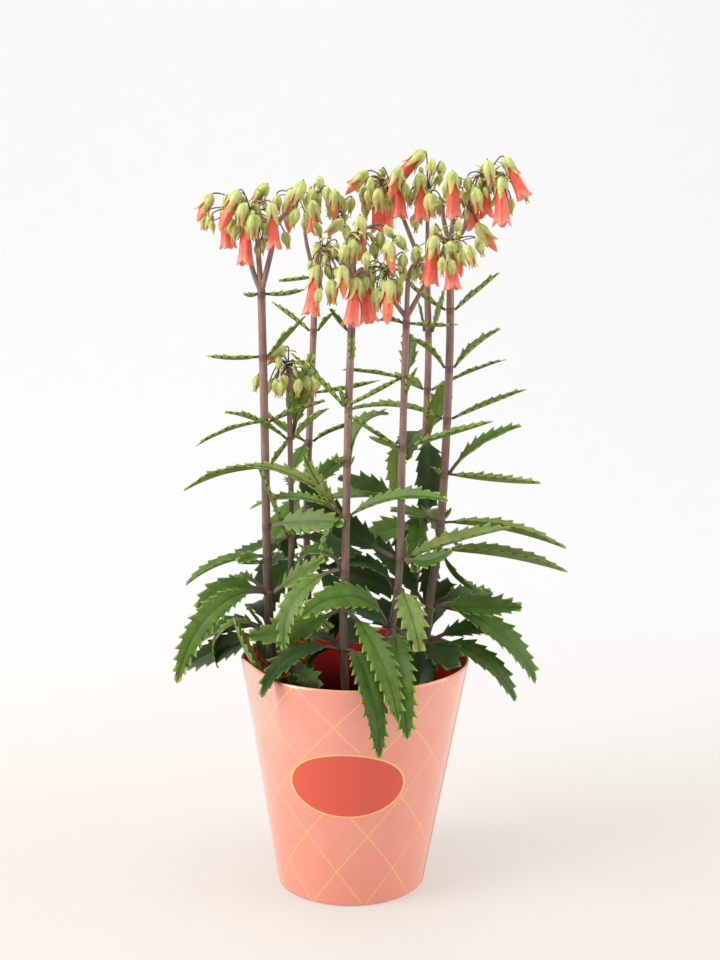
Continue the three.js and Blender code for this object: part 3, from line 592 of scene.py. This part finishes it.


# tone of the leaves that stand out, in the order of their rows: 0 deep green, 0.5 fresh green,
# 1 grey green, 1.5 yellow green
# some of these tones are raised for leaves that face away from the lamps: painted light on top of each leaf's
# own colour
leafTonesWithPaintedLight = {
    "a5": [0.7], "a6": [0.45, 0.5], "a7": [0.55, 0.25, 0.7, 0.35], "a8": [0.7, 0.1, 0.12, 1.0, 0.2, 0.15],
    "a9": [1.2, 0.2], "b1": [0.85, 0.95, 1.4], "b2": [0.8, 0.6, 0.15, 0.2, 0.2], "b3": [0.55, 0.15, 0.3],
    "c3": [0.5, 0.7, 0.5], "c4": [0.4, 0.2, 0.7], "c5": [0.3, 0.2, 0.2, 0.15, 0.15, 0.2],
    "d4": [0.9, 0.8, 0.6, 1.0, 0.5], "d5": [0.7, 0.45], "d6": [0.58, 0.5, 0.15],
    "d7": [0.3, 0.15, 0.15, 0.2, 0.12], "e4": [0.2, 0.8], "e5": [0.9, 0.35, 0.1], "e6": [0.85, 0.12],
    "e7": [0.55, 0.45, 0.15, 0.15], "f3": [1.3, 0.12, 0.3], "f4": [0.4, 0.3, 0.55, 0.2],
    "g6": [0.75, 0.55, 0.2, 0.15], "g7": [0.35, 0.45, 0.12, 0.3, 0.12],
    "g8": [0.3, 0.2, 0.12, 0.1, 0.2, 0.12],
}
# leaves seen more from the side than their row says, by their share of the width
narrowLeaves = {("d4", 2): 0.62, ("b1", 2): 0.7, ("f3", 0): 0.72, ("d2", 0): 0.6, ("d2", 1): 0.4,
                ("a7", 0): 0.84, ("e5", 1): 0.7, ("c3", 2): 0.6}
# small single leaves between the whorls: the whorl they are kept with, the height, the row and the tone
smallLeaves = [
    ["c1", 366, [175, -3, 10, 20, 5, 50, -10], 0.95], ["b1", 289, [265, 80, -5, 12, 4, 40, 0], 0.9],
    ["e2", 302, [305, 60, 10, 19, 6, 35, 12], 0.9], ["a6", 200, [182, 4, 12, 15, 6, 40, -8], 0.9],
    ["a6", 202, [355, 45, 10, 7, 4, 40, 5], 1.1], ["g5", 224, [15, 55, 0, 7, 4, 40, 5], 1.1],
    ["d3", 262, [190, 22, -10, 8, 5, 30, -20], 1.4], ["d3", 262, [330, 60, 0, 5, 3, 30, 5], 1.4],
]
for name, z, rows in whorls:
    batch, stemName = newBatch(), name[0]
    collarSurface(batch, *stemAt(stems[stemName], z))
    tones = leafTonesWithPaintedLight.get(name, [])
    for i, row in enumerate(rows):
        tone = tones[i] if i < len(tones) else float(np.clip(dice.normal(0.95, 0.12), 0, 1.3))
        addLeaf(batch, stemName, z, 0.2, row, tone, narrowLeaves.get((name, i), 1.0))
    for owner, height, row, tone in smallLeaves:
        if owner == name:
            addLeaf(batch, stemName, height, -0.4, row, tone)
    makePiece("leaves" + name.upper(), batch, [leafSkin], ["leaves_" + name])
print("leaves ready")


# flower heads: the branches above each fork as points from the fork, then for each flower its kind, the
# place of its top measured from the fork, and its lean to the right of straight down
heads = {
    "a": {"branches": [[[-5, 0, 12], [-7, -2, 28], [-5, -2, 43]], [[-2, 1, 29], [-3, 2, 43]],
          [[6, 0, 22], [9, 0, 37], [18, 2, 46], [21, 1, 51]]],
          "flowers": [["half", -27, -5, 54, -28], ["bud", -28, 5, 43, -24], ["long", -11, -12, 56, -26],
              ["bell", -21, 13, 50, 3], ["plump", -8, -16, 49, -9], ["bud", -14, -8, 38, -4],
              ["bell", -8, -4, 41, -1], ["plump", -3, -18, 43, -1], ["plump", 4, 8, 60, -37],
              ["bell", 7, -12, 49, 3], ["bud", 0, 11, 42, 13], ["bud", 13, 8, 33, 14],
              ["bud", 1, 4, 30, -4], ["plump", 19, -3, 57, -16], ["plump", 25, -8, 61, -25],
              ["bud", 21, -6, 46, -13], ["half", 15, 13, 51, 2], ["bud", -32, 6, 44, -10],
              ["bud", 9, 4, 54, 6]]},
    "b": {"branches": [[[0, 0, 4]]],
          "flowers": [["bud", -18, 4, -2, -12], ["bud", -7, -6, -3, 2], ["bud", -11, 2, -5, -15],
              ["bud", -3, -8, -4, -9], ["bud", 6, -6, -3, -3], ["bud", 3, 6, -4, -10],
              ["bud", 10, 0, -2, 14], ["plump", 17, 2, -1, -16], ["plump", -1, -2, 15, -56]]},
    "c": {"branches": [[[-2, 0, 4], [-5, 0, 20], [-3, -2, 33]], [[8, 0, 12], [10, 0, 20], [13, 2, 30]]],
          "flowers": [["half", 13, -8, 45, -2], ["plump", 18, -14, 28, -47], ["bud", 19, -4, 25, 9],
              ["bud", 4, 0, 53, 0], ["plump", -1, -4, 46, 6], ["plump", -1, -12, 39, 16],
              ["bud", -5, -4, 30, 0], ["bud", 1, 8, 26, 18], ["bud", 19, 0, 39, -11],
              ["bud", 23, 10, 41, -9], ["bell", 2, 14, 44, -8], ["plump", 10, 16, 42, 10],
              ["bud", 8, -6, 47, 4]]},
    "d": {"branches": [[[-10, 0, 11], [-17, 0, 15]], [[0, 2, 17], [1, 3, 22]],
          [[5, -1, 4], [12, -1, -1], [19, 0, 3]]],
          "flowers": [["bud", -19, 5, 18, -18], ["bell", -20, -6, 7, -8], ["bud", -19, -14, -6, -6],
              ["plump", -12, -8, -1, 0], ["bell", 2, -8, 0, -8], ["bell", 5, 4, 2, 8],
              ["plump", 13, -5, -6, 0], ["long", 20, -8, -1, -3], ["half", 19, -6, 20, 9],
              ["bud", 7, -12, 14, 0], ["half", -3, 10, 14, 2], ["half", 9, 12, 7, 0],
              ["bud", 28, 0, 13, -4], ["bud", -9, -4, 19, -16], ["bud", -4, -12, 18, -18],
              ["plump", 0, -8, 21, -3], ["long", 4, 2, 34, -1], ["bud", 17, 4, 28, 40],
              ["bud", 24, 2, 23, 32], ["bud", -15, -2, 7, 17], ["bud", 11, 8, 19, 10],
              ["half", -6, -13, 7, 2], ["bud", 15, 6, 25, 0]]},
    "e": {"branches": [[[-7, 0, 8], [-11, 1, 15]], [[1, 0, 21], [4, 0, 28], [8, 0, 31]],
          [[11, 0, 19], [15, 0, 28], [22, 0, 38]]],
          "flowers": [["bell", 15, -8, 45, -5], ["bell", 24, -6, 42, 3], ["half", 28, 6, 40, 10],
              ["plump", 33, -10, 40, 17], ["bud", 5, -2, 39, 0], ["bud", 6, 4, 29, -9],
              ["bud", 19, -14, 33, 1], ["bud", 24, -12, 32, 4], ["bud", 29, 8, 54, 1],
              ["bud", 40, 4, 43, 18], ["bud", 16, 10, 51, 0], ["bud", 23, 6, 45, -4],
              ["plump", -5, 6, 21, -3]]},
    "f": {"branches": [[[-8, 0, 19], [-14, 0, 34], [-18, 0, 46], [-22, 0, 52]],
          [[0, 0, 24], [0, 1, 33], [0, 1, 49]]],
          "flowers": [["half", -36, -4, 63, -43], ["bud", -34, -12, 59, 0], ["bud", -27, 6, 65, -9],
              ["bud", -36, -8, 52, 7], ["plump", -30, -12, 53, 3], ["bell", -31, 4, 54, 3],
              ["half", -17, -14, 65, -18], ["bell", -17, -6, 62, 0], ["bell", -2, 0, 75, -44],
              ["bud", 8, 4, 69, 1], ["bell", -5, -8, 62, 2], ["bud", -14, -12, 56, 4],
              ["plump", 0, -16, 50, 6], ["bud", 7, -14, 47, 1], ["bud", -7, 0, 37, 0],
              ["bud", -24, -4, 48, 0], ["bud", -10, 8, 52, -4], ["bell", -22, 15, 58, -6],
              ["plump", -6, 17, 60, 8], ["plump", -38, 4, 55, 4], ["bud", -37, 9, 45, 0],
              ["bud", 2, -5, 70, 0]]},
    "g": {"branches": [[[-4, 0, 14], [-5, 0, 26]], [[1, 1, 11], [3, 2, 28]],
          [[7, 0, 8], [9, 0, 14], [12, 0, 26], [21, 0, 38]]],
          "flowers": [["bell", 30, -4, 50, 27], ["plump", 20, -8, 48, 10], ["bell", 28, -8, 39, 1],
              ["bell", 19, 4, 42, 5], ["bell", 13, 7, 35, 2], ["plump", 13, -10, 33, 11],
              ["bud", 17, 8, 41, 5], ["bud", 35, 4, 27, 1], ["bell", 0, -10, 42, 3], ["bud", 7, 0, 31, 5],
              ["bud", 26, 8, 37, 8], ["half", 15, -2, 12, 37], ["bud", 41, 8, 34, 24],
              ["bud", -1, 10, 37, -11], ["bud", 9, -6, 39, 4]]},
}

# profiles as [depth below the top, radius]; lobes says where the four lobes part and where they end, and
# a form without lobes is closed
calyxForms = {
    "open": {"profile": [[0, 0.3], [0.25, 1.1], [1.0, 2.2], [2.6, 3.2], [5, 3.75], [8, 3.5], [10.5, 3.6],
             [13.5, 5.2]], "lobes": [6.4, 13.5], "ribs": 0.06, "point": 1.9},
    "plump": {"profile": [[0, 0.3], [0.3, 1.1], [1.3, 2.3], [3.5, 3.3], [6, 3.7], [9, 3.1], [11.5, 2.2],
              [14.6, 2.9]], "lobes": [8.0, 14.6], "ribs": 0.09, "point": 1.6},
    "bud": {"profile": [[0, 0.3], [0.25, 0.9], [1.2, 1.8], [3.2, 2.6], [5.2, 2.65], [7.4, 1.8], [9, 1.0],
            [11.2, 1.3]], "lobes": [6.6, 11.2], "ribs": 0.12, "point": 1.6},
}
# each flower kind: its corolla, how green that still is, the calyx it sits in and how red the calyx is
corollaForms = {
    "bell": {"profile": [[4, 2.2], [8, 2.7], [12, 3.1], [16, 3.4], [20, 3.65], [23.5, 4.1], [27.5, 5.1]],
             "lobes": [24.6, 27.5], "ribs": 0.10, "point": 1.2, "unripe": 0.0, "calyx": "open", "blush": 0.4},
    "long": {"profile": [[4, 2.2], [9, 2.6], [14, 2.7], [19, 2.5], [22, 1.7], [23.6, 0.8], [24.3, 0.15]],
             "ribs": 0.10, "unripe": 0.25, "calyx": "open", "blush": 0.55},
    "half": {"profile": [[4, 2.2], [8, 2.7], [11.5, 2.6], [15, 1.9], [17.5, 1.0], [19.2, 0.15]],
             "ribs": 0.12, "unripe": 0.6, "calyx": "open", "blush": 0.65},
    "plump": {"profile": [[4, 2.2], [8, 2.4], [10.5, 1.7], [12.6, 0.8], [13.6, 0.15]],
              "ribs": 0.10, "unripe": 1.0, "calyx": "plump", "blush": 0.6},
    "bud": {"profile": [[4, 1.8], [6.5, 1.5], [8.4, 0.8], [9.6, 0.12]],
            "ribs": 0.08, "unripe": 1.0, "calyx": "bud", "blush": 0.35},
}


def hangFrame(lean, tilt, spin):
    # third direction points up out of the flower; the other two are turned about it by the spin
    up = unit(np.array([-math.sin(lean), math.sin(tilt), math.cos(lean)]))
    first = unit(np.cross([0.0, 1.0, 0.0], up))
    x = math.cos(spin) * first + math.sin(spin) * np.cross(up, first)
    return np.stack([x, np.cross(up, x), up])


def shellSurface(batch, top, axes, form, size, made, marks):
    # outer skin from the top down to the lobes' edge, then back up inside it; the edge lies deeper in the
    # middle of each lobe, and the section has a rib along each lobe. made is the thickness and the rows
    profile = np.array(form["profile"]) * size
    start, tip = profile[0, 0], profile[-1, 0]
    part, end = np.array(form["lobes"]) * size if "lobes" in form else (tip, tip)
    angle = -turns(32)
    edge = part + (end - part) * np.abs(np.cos(2 * angle)) ** form.get("point", 1)
    t = np.linspace(0, 1, made[1])[:, None] ** 0.9
    depth = start + t * (edge - start)
    skin = np.interp(depth, profile[:, 0], profile[:, 1])
    skin = skin * (1 + form["ribs"] * np.cos(4 * angle) * smooth(0.05, 0.4, t))
    if "lobes" in form:
        within = np.maximum(skin - made[0], 0.04)
        skin, depth, t = [np.concatenate([outer, inner[:2:-1]])
                          for outer, inner in ((skin, within), (depth, depth), (t, t))]
    seam = (1 - np.abs(np.cos(2 * angle))) ** 3
    addRings(batch, top + turned(skin, angle, -depth) @ axes, {**marks, "along": t, "seam": seam})


def bractSurface(batch, base, row, tone):
    # a plain lance-shaped leaflet, folded along its middle and bent down towards its tip
    bearing, rise, length, width = row
    t = np.linspace(0, 1, 8)[:, None]
    side = heading(bearing + 90)
    ahead = heading(bearing) * math.cos(math.radians(rise)) + [0, 0, math.sin(math.radians(rise))]
    middle = base + ahead * length * t - np.array([0, 0, 0.25 * length]) * t**2
    half = 0.5 * width * np.sin(np.pi * t**0.7) ** 0.8 + 0.1
    span = np.cos(turns(8)) * half
    lift = 0.5 * np.abs(span) + 0.22 * np.sin(turns(8))
    rings = middle[:, None] + side * span[..., None] + np.cross(ahead, side) * lift[..., None]
    addRings(batch, rings, {"tone": tone, "along": t * 0.5, "seam": 0.0, "blush": 0.0})


def youngBud(batch, top, axes, size, tone):
    # a small closed bud with four ribs: radius = size * outline * (1 + rib * cos 4 angle)
    depth = np.array([0.0, 0.3, 1.2, 2.8, 4.6, 6.4, 8.0, 9.4])[:, None]
    outline = np.array([0.25, 0.8, 1.5, 2.0, 1.9, 1.2, 0.5, 0.12])[:, None]
    angle, rib = -turns(16), 0.16
    skin = size * outline * (1 + rib * np.cos(4 * angle))
    seam = (1 - np.abs(np.cos(2 * angle))) ** 2
    addRings(batch, top + turned(skin, angle, -size * depth) @ axes,
             {"tone": tone, "along": depth / 12, "seam": seam, "blush": 0.3})


def nearest(ends, point):
    return min(ends, key=lambda end: np.linalg.norm(end - point))


def addFlower(batches, ends, form, kind, top, lean):
    # the stalk leaves the nearest limb end, arches, and enters the flower's top along the flower's axis
    limbs, greens, reds = batches
    start = nearest(ends, top)
    size = 1 + draw(-form["jitter"], form["jitter"])
    axes = hangFrame(math.radians(lean), draw(-form["tilt"], form["tilt"]), draw(0, 1.57))
    lift = max(start[2] - top[2], 0) + form["arch"]
    a, b = start - [0, 0, 1], start * 0.65 + top * 0.35 + [0, 0, 0.75 * lift]
    c, d = top + axes[2] * form["above"], top - axes[2] * form["into"]
    t = np.linspace(0, 1, 22)[:, None]
    path = (1 - t)**3 * a + 3 * (1 - t)**2 * t * b + 3 * (1 - t) * t**2 * c + t**3 * d
    radii = form["stalk"] * np.interp(t[:, 0], [0, 0.5, 0.9, 1], [1.25, 0.9, 1.0, 1.5])
    addRings(limbs, tube(path, radii, 9), slot=1)
    corolla = corollaForms[kind]
    marks = {"tone": draw(0, 0.8), "blush": corolla["blush"]}
    shellSurface(greens, top, axes, calyxForms[corolla["calyx"]], size, form["calyx"], marks)
    shellSurface(reds, top, axes, corolla, size, form["corolla"], {"unripe": corolla["unripe"]})
    for _ in range(dice.integers(1, 3)):
        row = [draw(0, 360), draw(-30, 50), draw(4, 8), draw(1.4, 2.4)]
        bractSurface(greens, path[9], row, draw(0, 0.6))


def addYoungBud(limbs, greens, ends, form, near):
    # hangs on a short stalk somewhere between a limb's end and a flower's top
    start = nearest(ends, near)
    share = draw(0.3, 0.95)
    top = start + (near - start) * share + draw(-4.5, 4.5, 3) - [0, 0, 2]
    axes = hangFrame(draw(-0.45, 0.45), draw(-0.4, 0.4), draw(0, 1.57))
    t = np.linspace(0, 1, 12)[:, None]
    knee = (start + top) / 2 + [0, 0, draw(1, 5)]
    path = (1 - t)**2 * start + 2 * (1 - t) * t * knee + t**2 * (top - axes[2] * 0.6)
    addRings(limbs, tube(path, np.full(12, 0.75 * form["stalk"]), 7), slot=1)
    youngBud(greens, top, axes, draw(0.55, 0.95), draw(0, 0.7))


def headSurfaces(name):
    # limbs follow the branch points and end in a few leaflets; start and end are shares of the stem's
    # radius, young is the number of young buds for each flower
    form = {"joint": 0.95, "start": 0.74, "end": 0.46, "stalk": 0.42, "arch": 7.0, "above": 3.2,
            "into": 1.2, "jitter": 0.06, "tilt": 0.15, "young": 2.2, "leaflets": 9, "calyx": [0.4, 12],
            "corolla": [0.35, 18]}
    head, stem = heads[name], stems[name]
    fork = np.array([stem["path"][-1][0], stem["y"], stem["path"][-1][1]], float)
    thick = stem["thick"][1]
    limbs, greens, reds = batches = [newBatch() for _ in range(3)]
    ends = []
    for branch in head["branches"]:
        points = fork + np.array([[0, 0, -1.5]] + branch, float)
        path = throughPoints(points, 10 * len(points))
        radii = thick * np.linspace(form["start"], form["end"], len(path))
        radii[0] = form["joint"] * thick
        addRings(limbs, tube(path, radii, 14))
        ends.append(path[-1])
        for turn in draw(0, 360, form["leaflets"]):
            row = [turn, draw(-10, 60), draw(5, 11), draw(1.8, 3.2)]
            bractSurface(greens, path[-1] - [0, 0, draw(0, 3)], row, draw(0, 0.5))
    for kind, x, y, z, lean in head["flowers"]:
        addFlower(batches, ends, form, kind, fork + [x, y, z], lean)
    tops = fork + np.array([flower[1:4] for flower in head["flowers"]], float)
    for _ in range(int(form["young"] * len(tops))):
        addYoungBud(limbs, greens, ends, form, tops[dice.integers(len(tops))])
    nodes = ["flower_head_" + name]
    makePiece("stalks" + name.upper(), limbs, [stemSkin, stalkSkin], nodes)
    makePiece("calyxes" + name.upper(), greens, [calyxSkin], nodes)
    makePiece("corollas" + name.upper(), reds, [corollaSkin], nodes)


for name in heads:
    headSurfaces(name)
print("flower heads ready")


# pot cover: a cone of card, squeezed flat at the front left from pinchLow up to its rim; angles are in
# degrees and level is the share of its height

cover = {"height": 140.0, "rim": 68.4, "foot": 44.5, "wall": 0.9, "floor": 1.2, "lean": 2.4,
         "pinchFrom": 182.0, "pinchTo": 228.0, "pinchLow": 78.0, "ripple": 0.25, "lift": 0.8, "round": 0.15,
         "lap": [344.5, 345.5, 350.0, 358.0], "lapOut": 0.4, "around": 360}


def coverRadius(angle, level):
    radius = cover["foot"] + (cover["rim"] - cover["foot"]) * level
    middle = (cover["pinchFrom"] + cover["pinchTo"]) / 2
    half = (cover["pinchTo"] - cover["pinchFrom"]) / 2
    off = np.radians(angle - middle)
    chord = radius * math.cos(math.radians(half)) / np.cos(np.clip(off, -1, 1))
    flat = smooth(cover["pinchLow"], cover["height"], level * cover["height"])
    inside = np.abs(angle - middle) <= half
    ripple = cover["ripple"] * np.sin(np.radians(angle) * 5 + 3 * level) * smooth(0.1, 0.6, level)
    return np.where(inside, radius + (chord - radius) * flat, radius) + ripple


def outsideMaterial():
    # seam and oval are placed by degrees round the cover, and the oval also by its level; lines says how
    # many gold lines cross the girth and how many turns of that they climb
    look = {"light": tint(245, 171, 155), "dark": tint(241, 152, 132), "low": tint(236, 132, 102),
            "gold": tint(250, 208, 116), "red": tint(222, 76, 52), "seam": tint(150, 84, 70),
            "lines": [9.0, 3.0], "lineWidth": 0.015, "oval": [266.5, 0.57], "half": [34.0, 19.5],
            "seamAt": 345.0, "grain": [9.0, 0.15], "roughness": 0.26, "coat": [0.7, 0.14], "foil": 0.35}
    material, shader = newMaterial("Card outside")
    where = place()
    level = math2("DIVIDE", parts(where)["Z"], cover["height"] * mm)
    x = math2("SUBTRACT", parts(where)["X"], times(level, cover["lean"] * mm))
    turn = math2("DIVIDE", math2("ARCTAN2", parts(where)["Y"], x), 2 * math.pi)
    colour = mix(times(ramp(level, 0.8, 0.0), 0.6), mottled(where, look)[0], look["low"])
    around, upward = times(turn, look["lines"][0]), times(level, look["lines"][1])
    lines = [makeNode("Group", {"Value": math2(sign, around, upward), "Width": look["lineWidth"]},
                      node_tree=thinLine)["Mask"] for sign in ("ADD", "SUBTRACT")]
    # the oval: (arc / half width) squared + (height / half height) squared = 1
    growth = times(level, (cover["rim"] - cover["foot"]) / cover["foot"])
    girth = times(math2("ADD", growth, 1.0), 2 * math.pi * cover["foot"] / look["half"][0])
    wide = times(math2("SUBTRACT", turn, look["oval"][0] / 360 - 1), girth)
    tall = times(math2("SUBTRACT", level, look["oval"][1]), cover["height"] / look["half"][1])
    away = math2("SQRT", math2("ADD", times(wide, wide), times(tall, tall)))
    ring = times(ramp(away, 1.045, 1.03), ramp(away, 0.995, 1.01))
    lines = times(math2("MAXIMUM", *lines), ramp(away, 1.05, 1.07))
    beside = math2("ABSOLUTE", math2("SUBTRACT", turn, look["seamAt"] / 360 - 1))
    for share, name in ((lines, "gold"), (ramp(away, 1.012, 0.995), "red"), (ring, "gold"),
                        (ramp(beside, 0.0016, 0.0008), "seam")):
        colour = mix(share, colour, look[name])
    foil = math2("MAXIMUM", lines, ring)
    fill(shader, {"Metallic": times(foil, look["foil"]), "Coat Weight": look["coat"][0],
                  "Coat Roughness": look["coat"][1]})
    grain = makeNode("TexNoise", {"Vector": where, "Scale": 900.0, "Detail": 2.0})["Fac"]
    finishSkin(shader, colour, look["roughness"], [math2("ADD", times(grain, 0.3), foil), 0.25, 0.0001])
    return material


def liningMaterial():
    look = {"dark": tint(168, 28, 22), "light": tint(206, 44, 32), "deep": tint(64, 8, 8),
            "paintedShadeLevels": [0.124, 0.096], "grain": [14.0, 0.2], "roughness": 0.3}
    material, shader = newMaterial("Card lining")
    where = place()
    colour, height = mottled(where, look)
    # painted shade: the red lining turns to a near-black red towards the floor of the cover, where little
    # light reaches down inside
    colour = mix(ramp(parts(where)["Z"], *look["paintedShadeLevels"]), colour, look["deep"])
    finishSkin(shader, colour, look["roughness"], [height, 0.2, 0.0004])
    return material


def ringsAt(levels, insets):
    level = np.array(levels)[:, None]
    angle = turns(cover["around"])
    radius = coverRadius(np.degrees(angle), np.clip(level, 0, 1)) - np.reshape(insets, (-1, 1))
    return turned(radius, angle, level * cover["height"]) + cover["lean"] * level[..., None] * [1, 0, 0]


def coverPiece():
    # outside from the foot's middle up to the rim, over the cut edge, and down inside to the floor
    wall, rounded, turn = cover["wall"], cover["round"], np.degrees(turns(cover["around"]))
    foot = ringsAt([0.0, 0.003], [1.4, 1.0])
    outside = ringsAt(np.linspace(0, 1, 57), 0)
    outside[0, :, 2] = cover["lift"]
    # the card's glued overlap stands out between two angles and ends in a step at the first
    lap = cover["lapOut"] * smooth(*cover["lap"][:2], turn) * (1 - smooth(*cover["lap"][2:], turn))
    outside[:, :, :2] += turned(lap, np.radians(turn), 0)[:, :2]
    edge = ringsAt([1.0, 1.0012, 1.0, 0.995], [rounded, wall / 2, wall - rounded, wall])
    inside = ringsAt(np.linspace(0.985, cover["floor"] / cover["height"], 45), wall)
    slots = [0] * (len(outside) + 1) + [2] * len(edge) + [1] * len(inside)
    batch = newBatch()
    addRings(batch, np.concatenate([foot, outside, edge, inside]), slot=slots)
    cut = {"dark": tint(206, 170, 84), "light": tint(232, 196, 118), "grain": [300.0, 0.4],
           "roughness": 0.5, "bump": [0.3, 0.0002]}
    skins = [outsideMaterial(), liningMaterial(), plainMaterial("Card cut edge", cut)]
    makePiece("potCover", batch, skins, ["pot_cover"])


coverPiece()
print("pot cover ready")


# nursery pot: a turned wall with a rolled lip and a thick floor

def turnedRings(profile, around):
    # a closed outline of [radius, height] turned about the z axis
    radius, height = np.array(profile, float).T[..., None]
    return turned(radius, turns(around), height)


def nurseryPot():
    # rim and foot are radii outside; the lip stands out over the wall and is lip mm tall
    form = {"rim": 56.0, "foot": 40.0, "round": 1.2, "bottom": 1.5, "height": 99.0, "wall": 1.2,
            "lipOut": 1.8, "lip": 9.0, "around": 120}
    look = {"dark": tint(22, 20, 20), "light": tint(42, 38, 37), "grain": [90.0, 0.5], "roughness": 0.5,
            "bump": [0.25, 0.0004]}
    rim, foot, top = form["rim"], form["foot"], form["bottom"] + form["height"]
    under, low = rim - form["lipOut"], foot - form["round"]
    rise = np.linspace(0.05, 1, 14)
    outer = [[low, form["bottom"]], [foot, form["bottom"] + 0.7],
             *zip(foot + (under - foot) * rise, 2.5 + (top - form["lip"] - 2.5) * rise)]
    lip = [[rim - 0.3, top - form["lip"]], [rim, top - form["lip"] + 0.4], [rim, top - 0.8],
           [rim - 0.5, top - 0.1], [rim - 1.6, top], [under - form["wall"], top - 0.8]]
    fall = np.linspace(0.97, 0, 14)
    inner = [*zip(low + (under - form["wall"] - low) * fall, form["bottom"] + 1.2 + (top - 3.5) * fall)]
    batch = newBatch()
    addRings(batch, turnedRings(outer + lip + inner, form["around"]))
    makePiece("nurseryPot", batch, [plainMaterial("Pot plastic", look)], ["nursery_pot"])


def soilMaterial():
    look = {"dark": tint(26, 18, 14), "light": tint(78, 56, 42), "grain": [260.0, 0.5], "fibres": 420.0,
            "roughness": 0.9}
    material, shader = newMaterial("Potting soil")
    where = place()
    colour, height = mottled(where, look)
    fibre = makeNode("TexVoronoi", {"Vector": where, "Scale": look["fibres"]})["Distance"]
    colour = mix(ramp(fibre, 0.05, 0.45), look["dark"], colour)
    finishSkin(shader, colour, look["roughness"], [math2("ADD", height, fibre), 0.8, 0.0012])
    return material


def soilPiece():
    # from the middle out a low heap with lumps of two sizes and a sunken edge, then loose crumbs on it
    form = {"edge": 50.6, "level": 91.5, "heap": 2.0, "rough": 0.35, "around": 160, "crumbs": 240,
            "within": 49, "crumbLevel": 93.2, "flat": 0.8,
            "wall": [[39.0, 3.2], [42.0, 22.0], [46.0, 54.0], [49.6, 84.0]]}
    share = np.linspace(1, 0.02, 46)[:, None]
    x, y, z = np.moveaxis(turned(form["edge"] * share, turns(form["around"]), 0), -1, 0)
    lumps = 0.9 * np.sin(x * 0.31 + 2) * np.cos(y * 0.37) + 0.6 * np.sin(x * 0.83) * np.cos(y * 0.9 + x * 0.4)
    lumps = (lumps + dice.normal(0, form["rough"], x.shape)) * smooth(1.0, 0.85, share)
    z = form["level"] + form["heap"] * (1 - share**2) + lumps
    batch = newBatch()
    addRings(batch, np.concatenate([turnedRings(form["wall"], form["around"]), np.stack([x, y, z], axis=-1)]))
    t = np.linspace(-0.98, 0.98, 6)[:, None]
    for _ in range(form["crumbs"]):
        reach, turn = form["within"] * math.sqrt(draw(0, 1)), draw(0, 2 * math.pi)
        size = draw(0.7, 2.2)
        middle = [reach * math.cos(turn), reach * math.sin(turn), form["crumbLevel"] - reach * 0.03]
        radii = size * np.sqrt(1 - t**2) * (1 + draw(-0.25, 0.25, (6, 8)))
        addRings(batch, tube(middle + np.array([0, 0, form["flat"]]) * size * t, radii, 8))
    makePiece("pottingSoil", batch, [soilMaterial()], ["soil"])


nurseryPot()
soilPiece()
print("pot and soil ready")


# floor, light and camera, in metres

def stagePieces():
    # a floor that curves up into a wall behind the plant; it glows a little, as white paper in the light
    form = {"half": 2.4, "front": -2.6, "back": 1.5, "bend": 0.9, "top": 3.0}
    look = {"warm": tint(238, 231, 223), "cool": tint(250, 249, 250), "lit": 0.4, "glow": 0.58,
            "dark": (0.992, 0.992, 0.992, 1), "light": (1.0, 1.0, 1.0, 1), "grain": [30.0, 0.5],
            "shine": 0.1, "roughness": 0.9}
    arc = np.linspace(0, math.pi / 2, 24)
    start = form["back"] - form["bend"]
    curve = zip(start + form["bend"] * np.sin(arc), form["bend"] * (1 - np.cos(arc)))
    profile = [[form["front"], 0.0], *curve, [form["back"], form["top"]]]
    points = [[side * form["half"], y, z] for y, z in profile for side in (-1, 1)]
    faces = [[2 * i, 2 * i + 1, 2 * i + 3, 2 * i + 2] for i in range(len(profile) - 1)]
    mesh = bpy.data.meshes.new("Backdrop")
    mesh.from_pydata(points, [], faces)
    mesh.polygons.foreach_set("use_smooth", np.ones(len(faces), bool))
    floor = newObject("Backdrop", mesh)
    material, shader = newMaterial("Pale paper")
    where = place()
    paper = mix(ramp(parts(where)["Y"], -0.15, 0.8), look["warm"], look["cool"])
    toned = mix(1.0, paper, mottled(where, look)[0], "MULTIPLY")
    fill(shader, {"Base Color": mix(look["lit"], (0, 0, 0, 1), toned), "Roughness": look["roughness"],
         "Emission Color": toned, "Emission Strength": look["glow"], "Specular IOR Level": look["shine"]})
    mesh.materials.append(material)


def areaLight(name, where, high, power):
    # a square light of 1 m, aimed at the plant's axis at a height of high
    light = bpy.data.lights.new(name, "AREA")
    light.shape = "SQUARE"
    light.size = 1.0
    light.energy = power
    lamp = newObject(name, light)
    lamp.location = where
    x, y, z = np.array([0, 0, high]) - where
    lamp.rotation_euler = (math.atan2(math.hypot(x, y), -z), 0, math.atan2(y, x) - math.pi / 2)


stagePieces()
areaLight("Key", (-1.3, -0.6, 0.9), 0.22, 23)
areaLight("Side", (1.4, -0.2, 0.5), 0.2, 9)
areaLight("Top", (0.0, -0.1, 1.7), 0.2, 11)
scene = bpy.context.scene
scene.view_settings.view_transform = "Standard"
scene.world = bpy.data.worlds.new("Soft studio")
scene.world.use_nodes = True
sky = scene.world.node_tree.nodes["Background"].inputs
sky["Color"].default_value = (1, 1, 1, 1)
sky["Strength"].default_value = 0.4

# focus and frame are pixels, place is millimetres and down is degrees below level
cameraForm = {"place": (5.63, -880.0, 398.61), "down": 9.72, "focus": 1510.56, "frame": 960, "sensor": 36}
camera = bpy.data.cameras.new("Camera")
camera.lens = cameraForm["focus"] * cameraForm["sensor"] / cameraForm["frame"]
camera.sensor_width = cameraForm["sensor"]
camera.sensor_fit = "AUTO"
scene.camera = newObject("Camera", camera)
scene.camera.location = [mm * value for value in cameraForm["place"]]
scene.camera.rotation_euler = (math.radians(90 - cameraForm["down"]), 0, 0)
print("stage, light and camera ready")
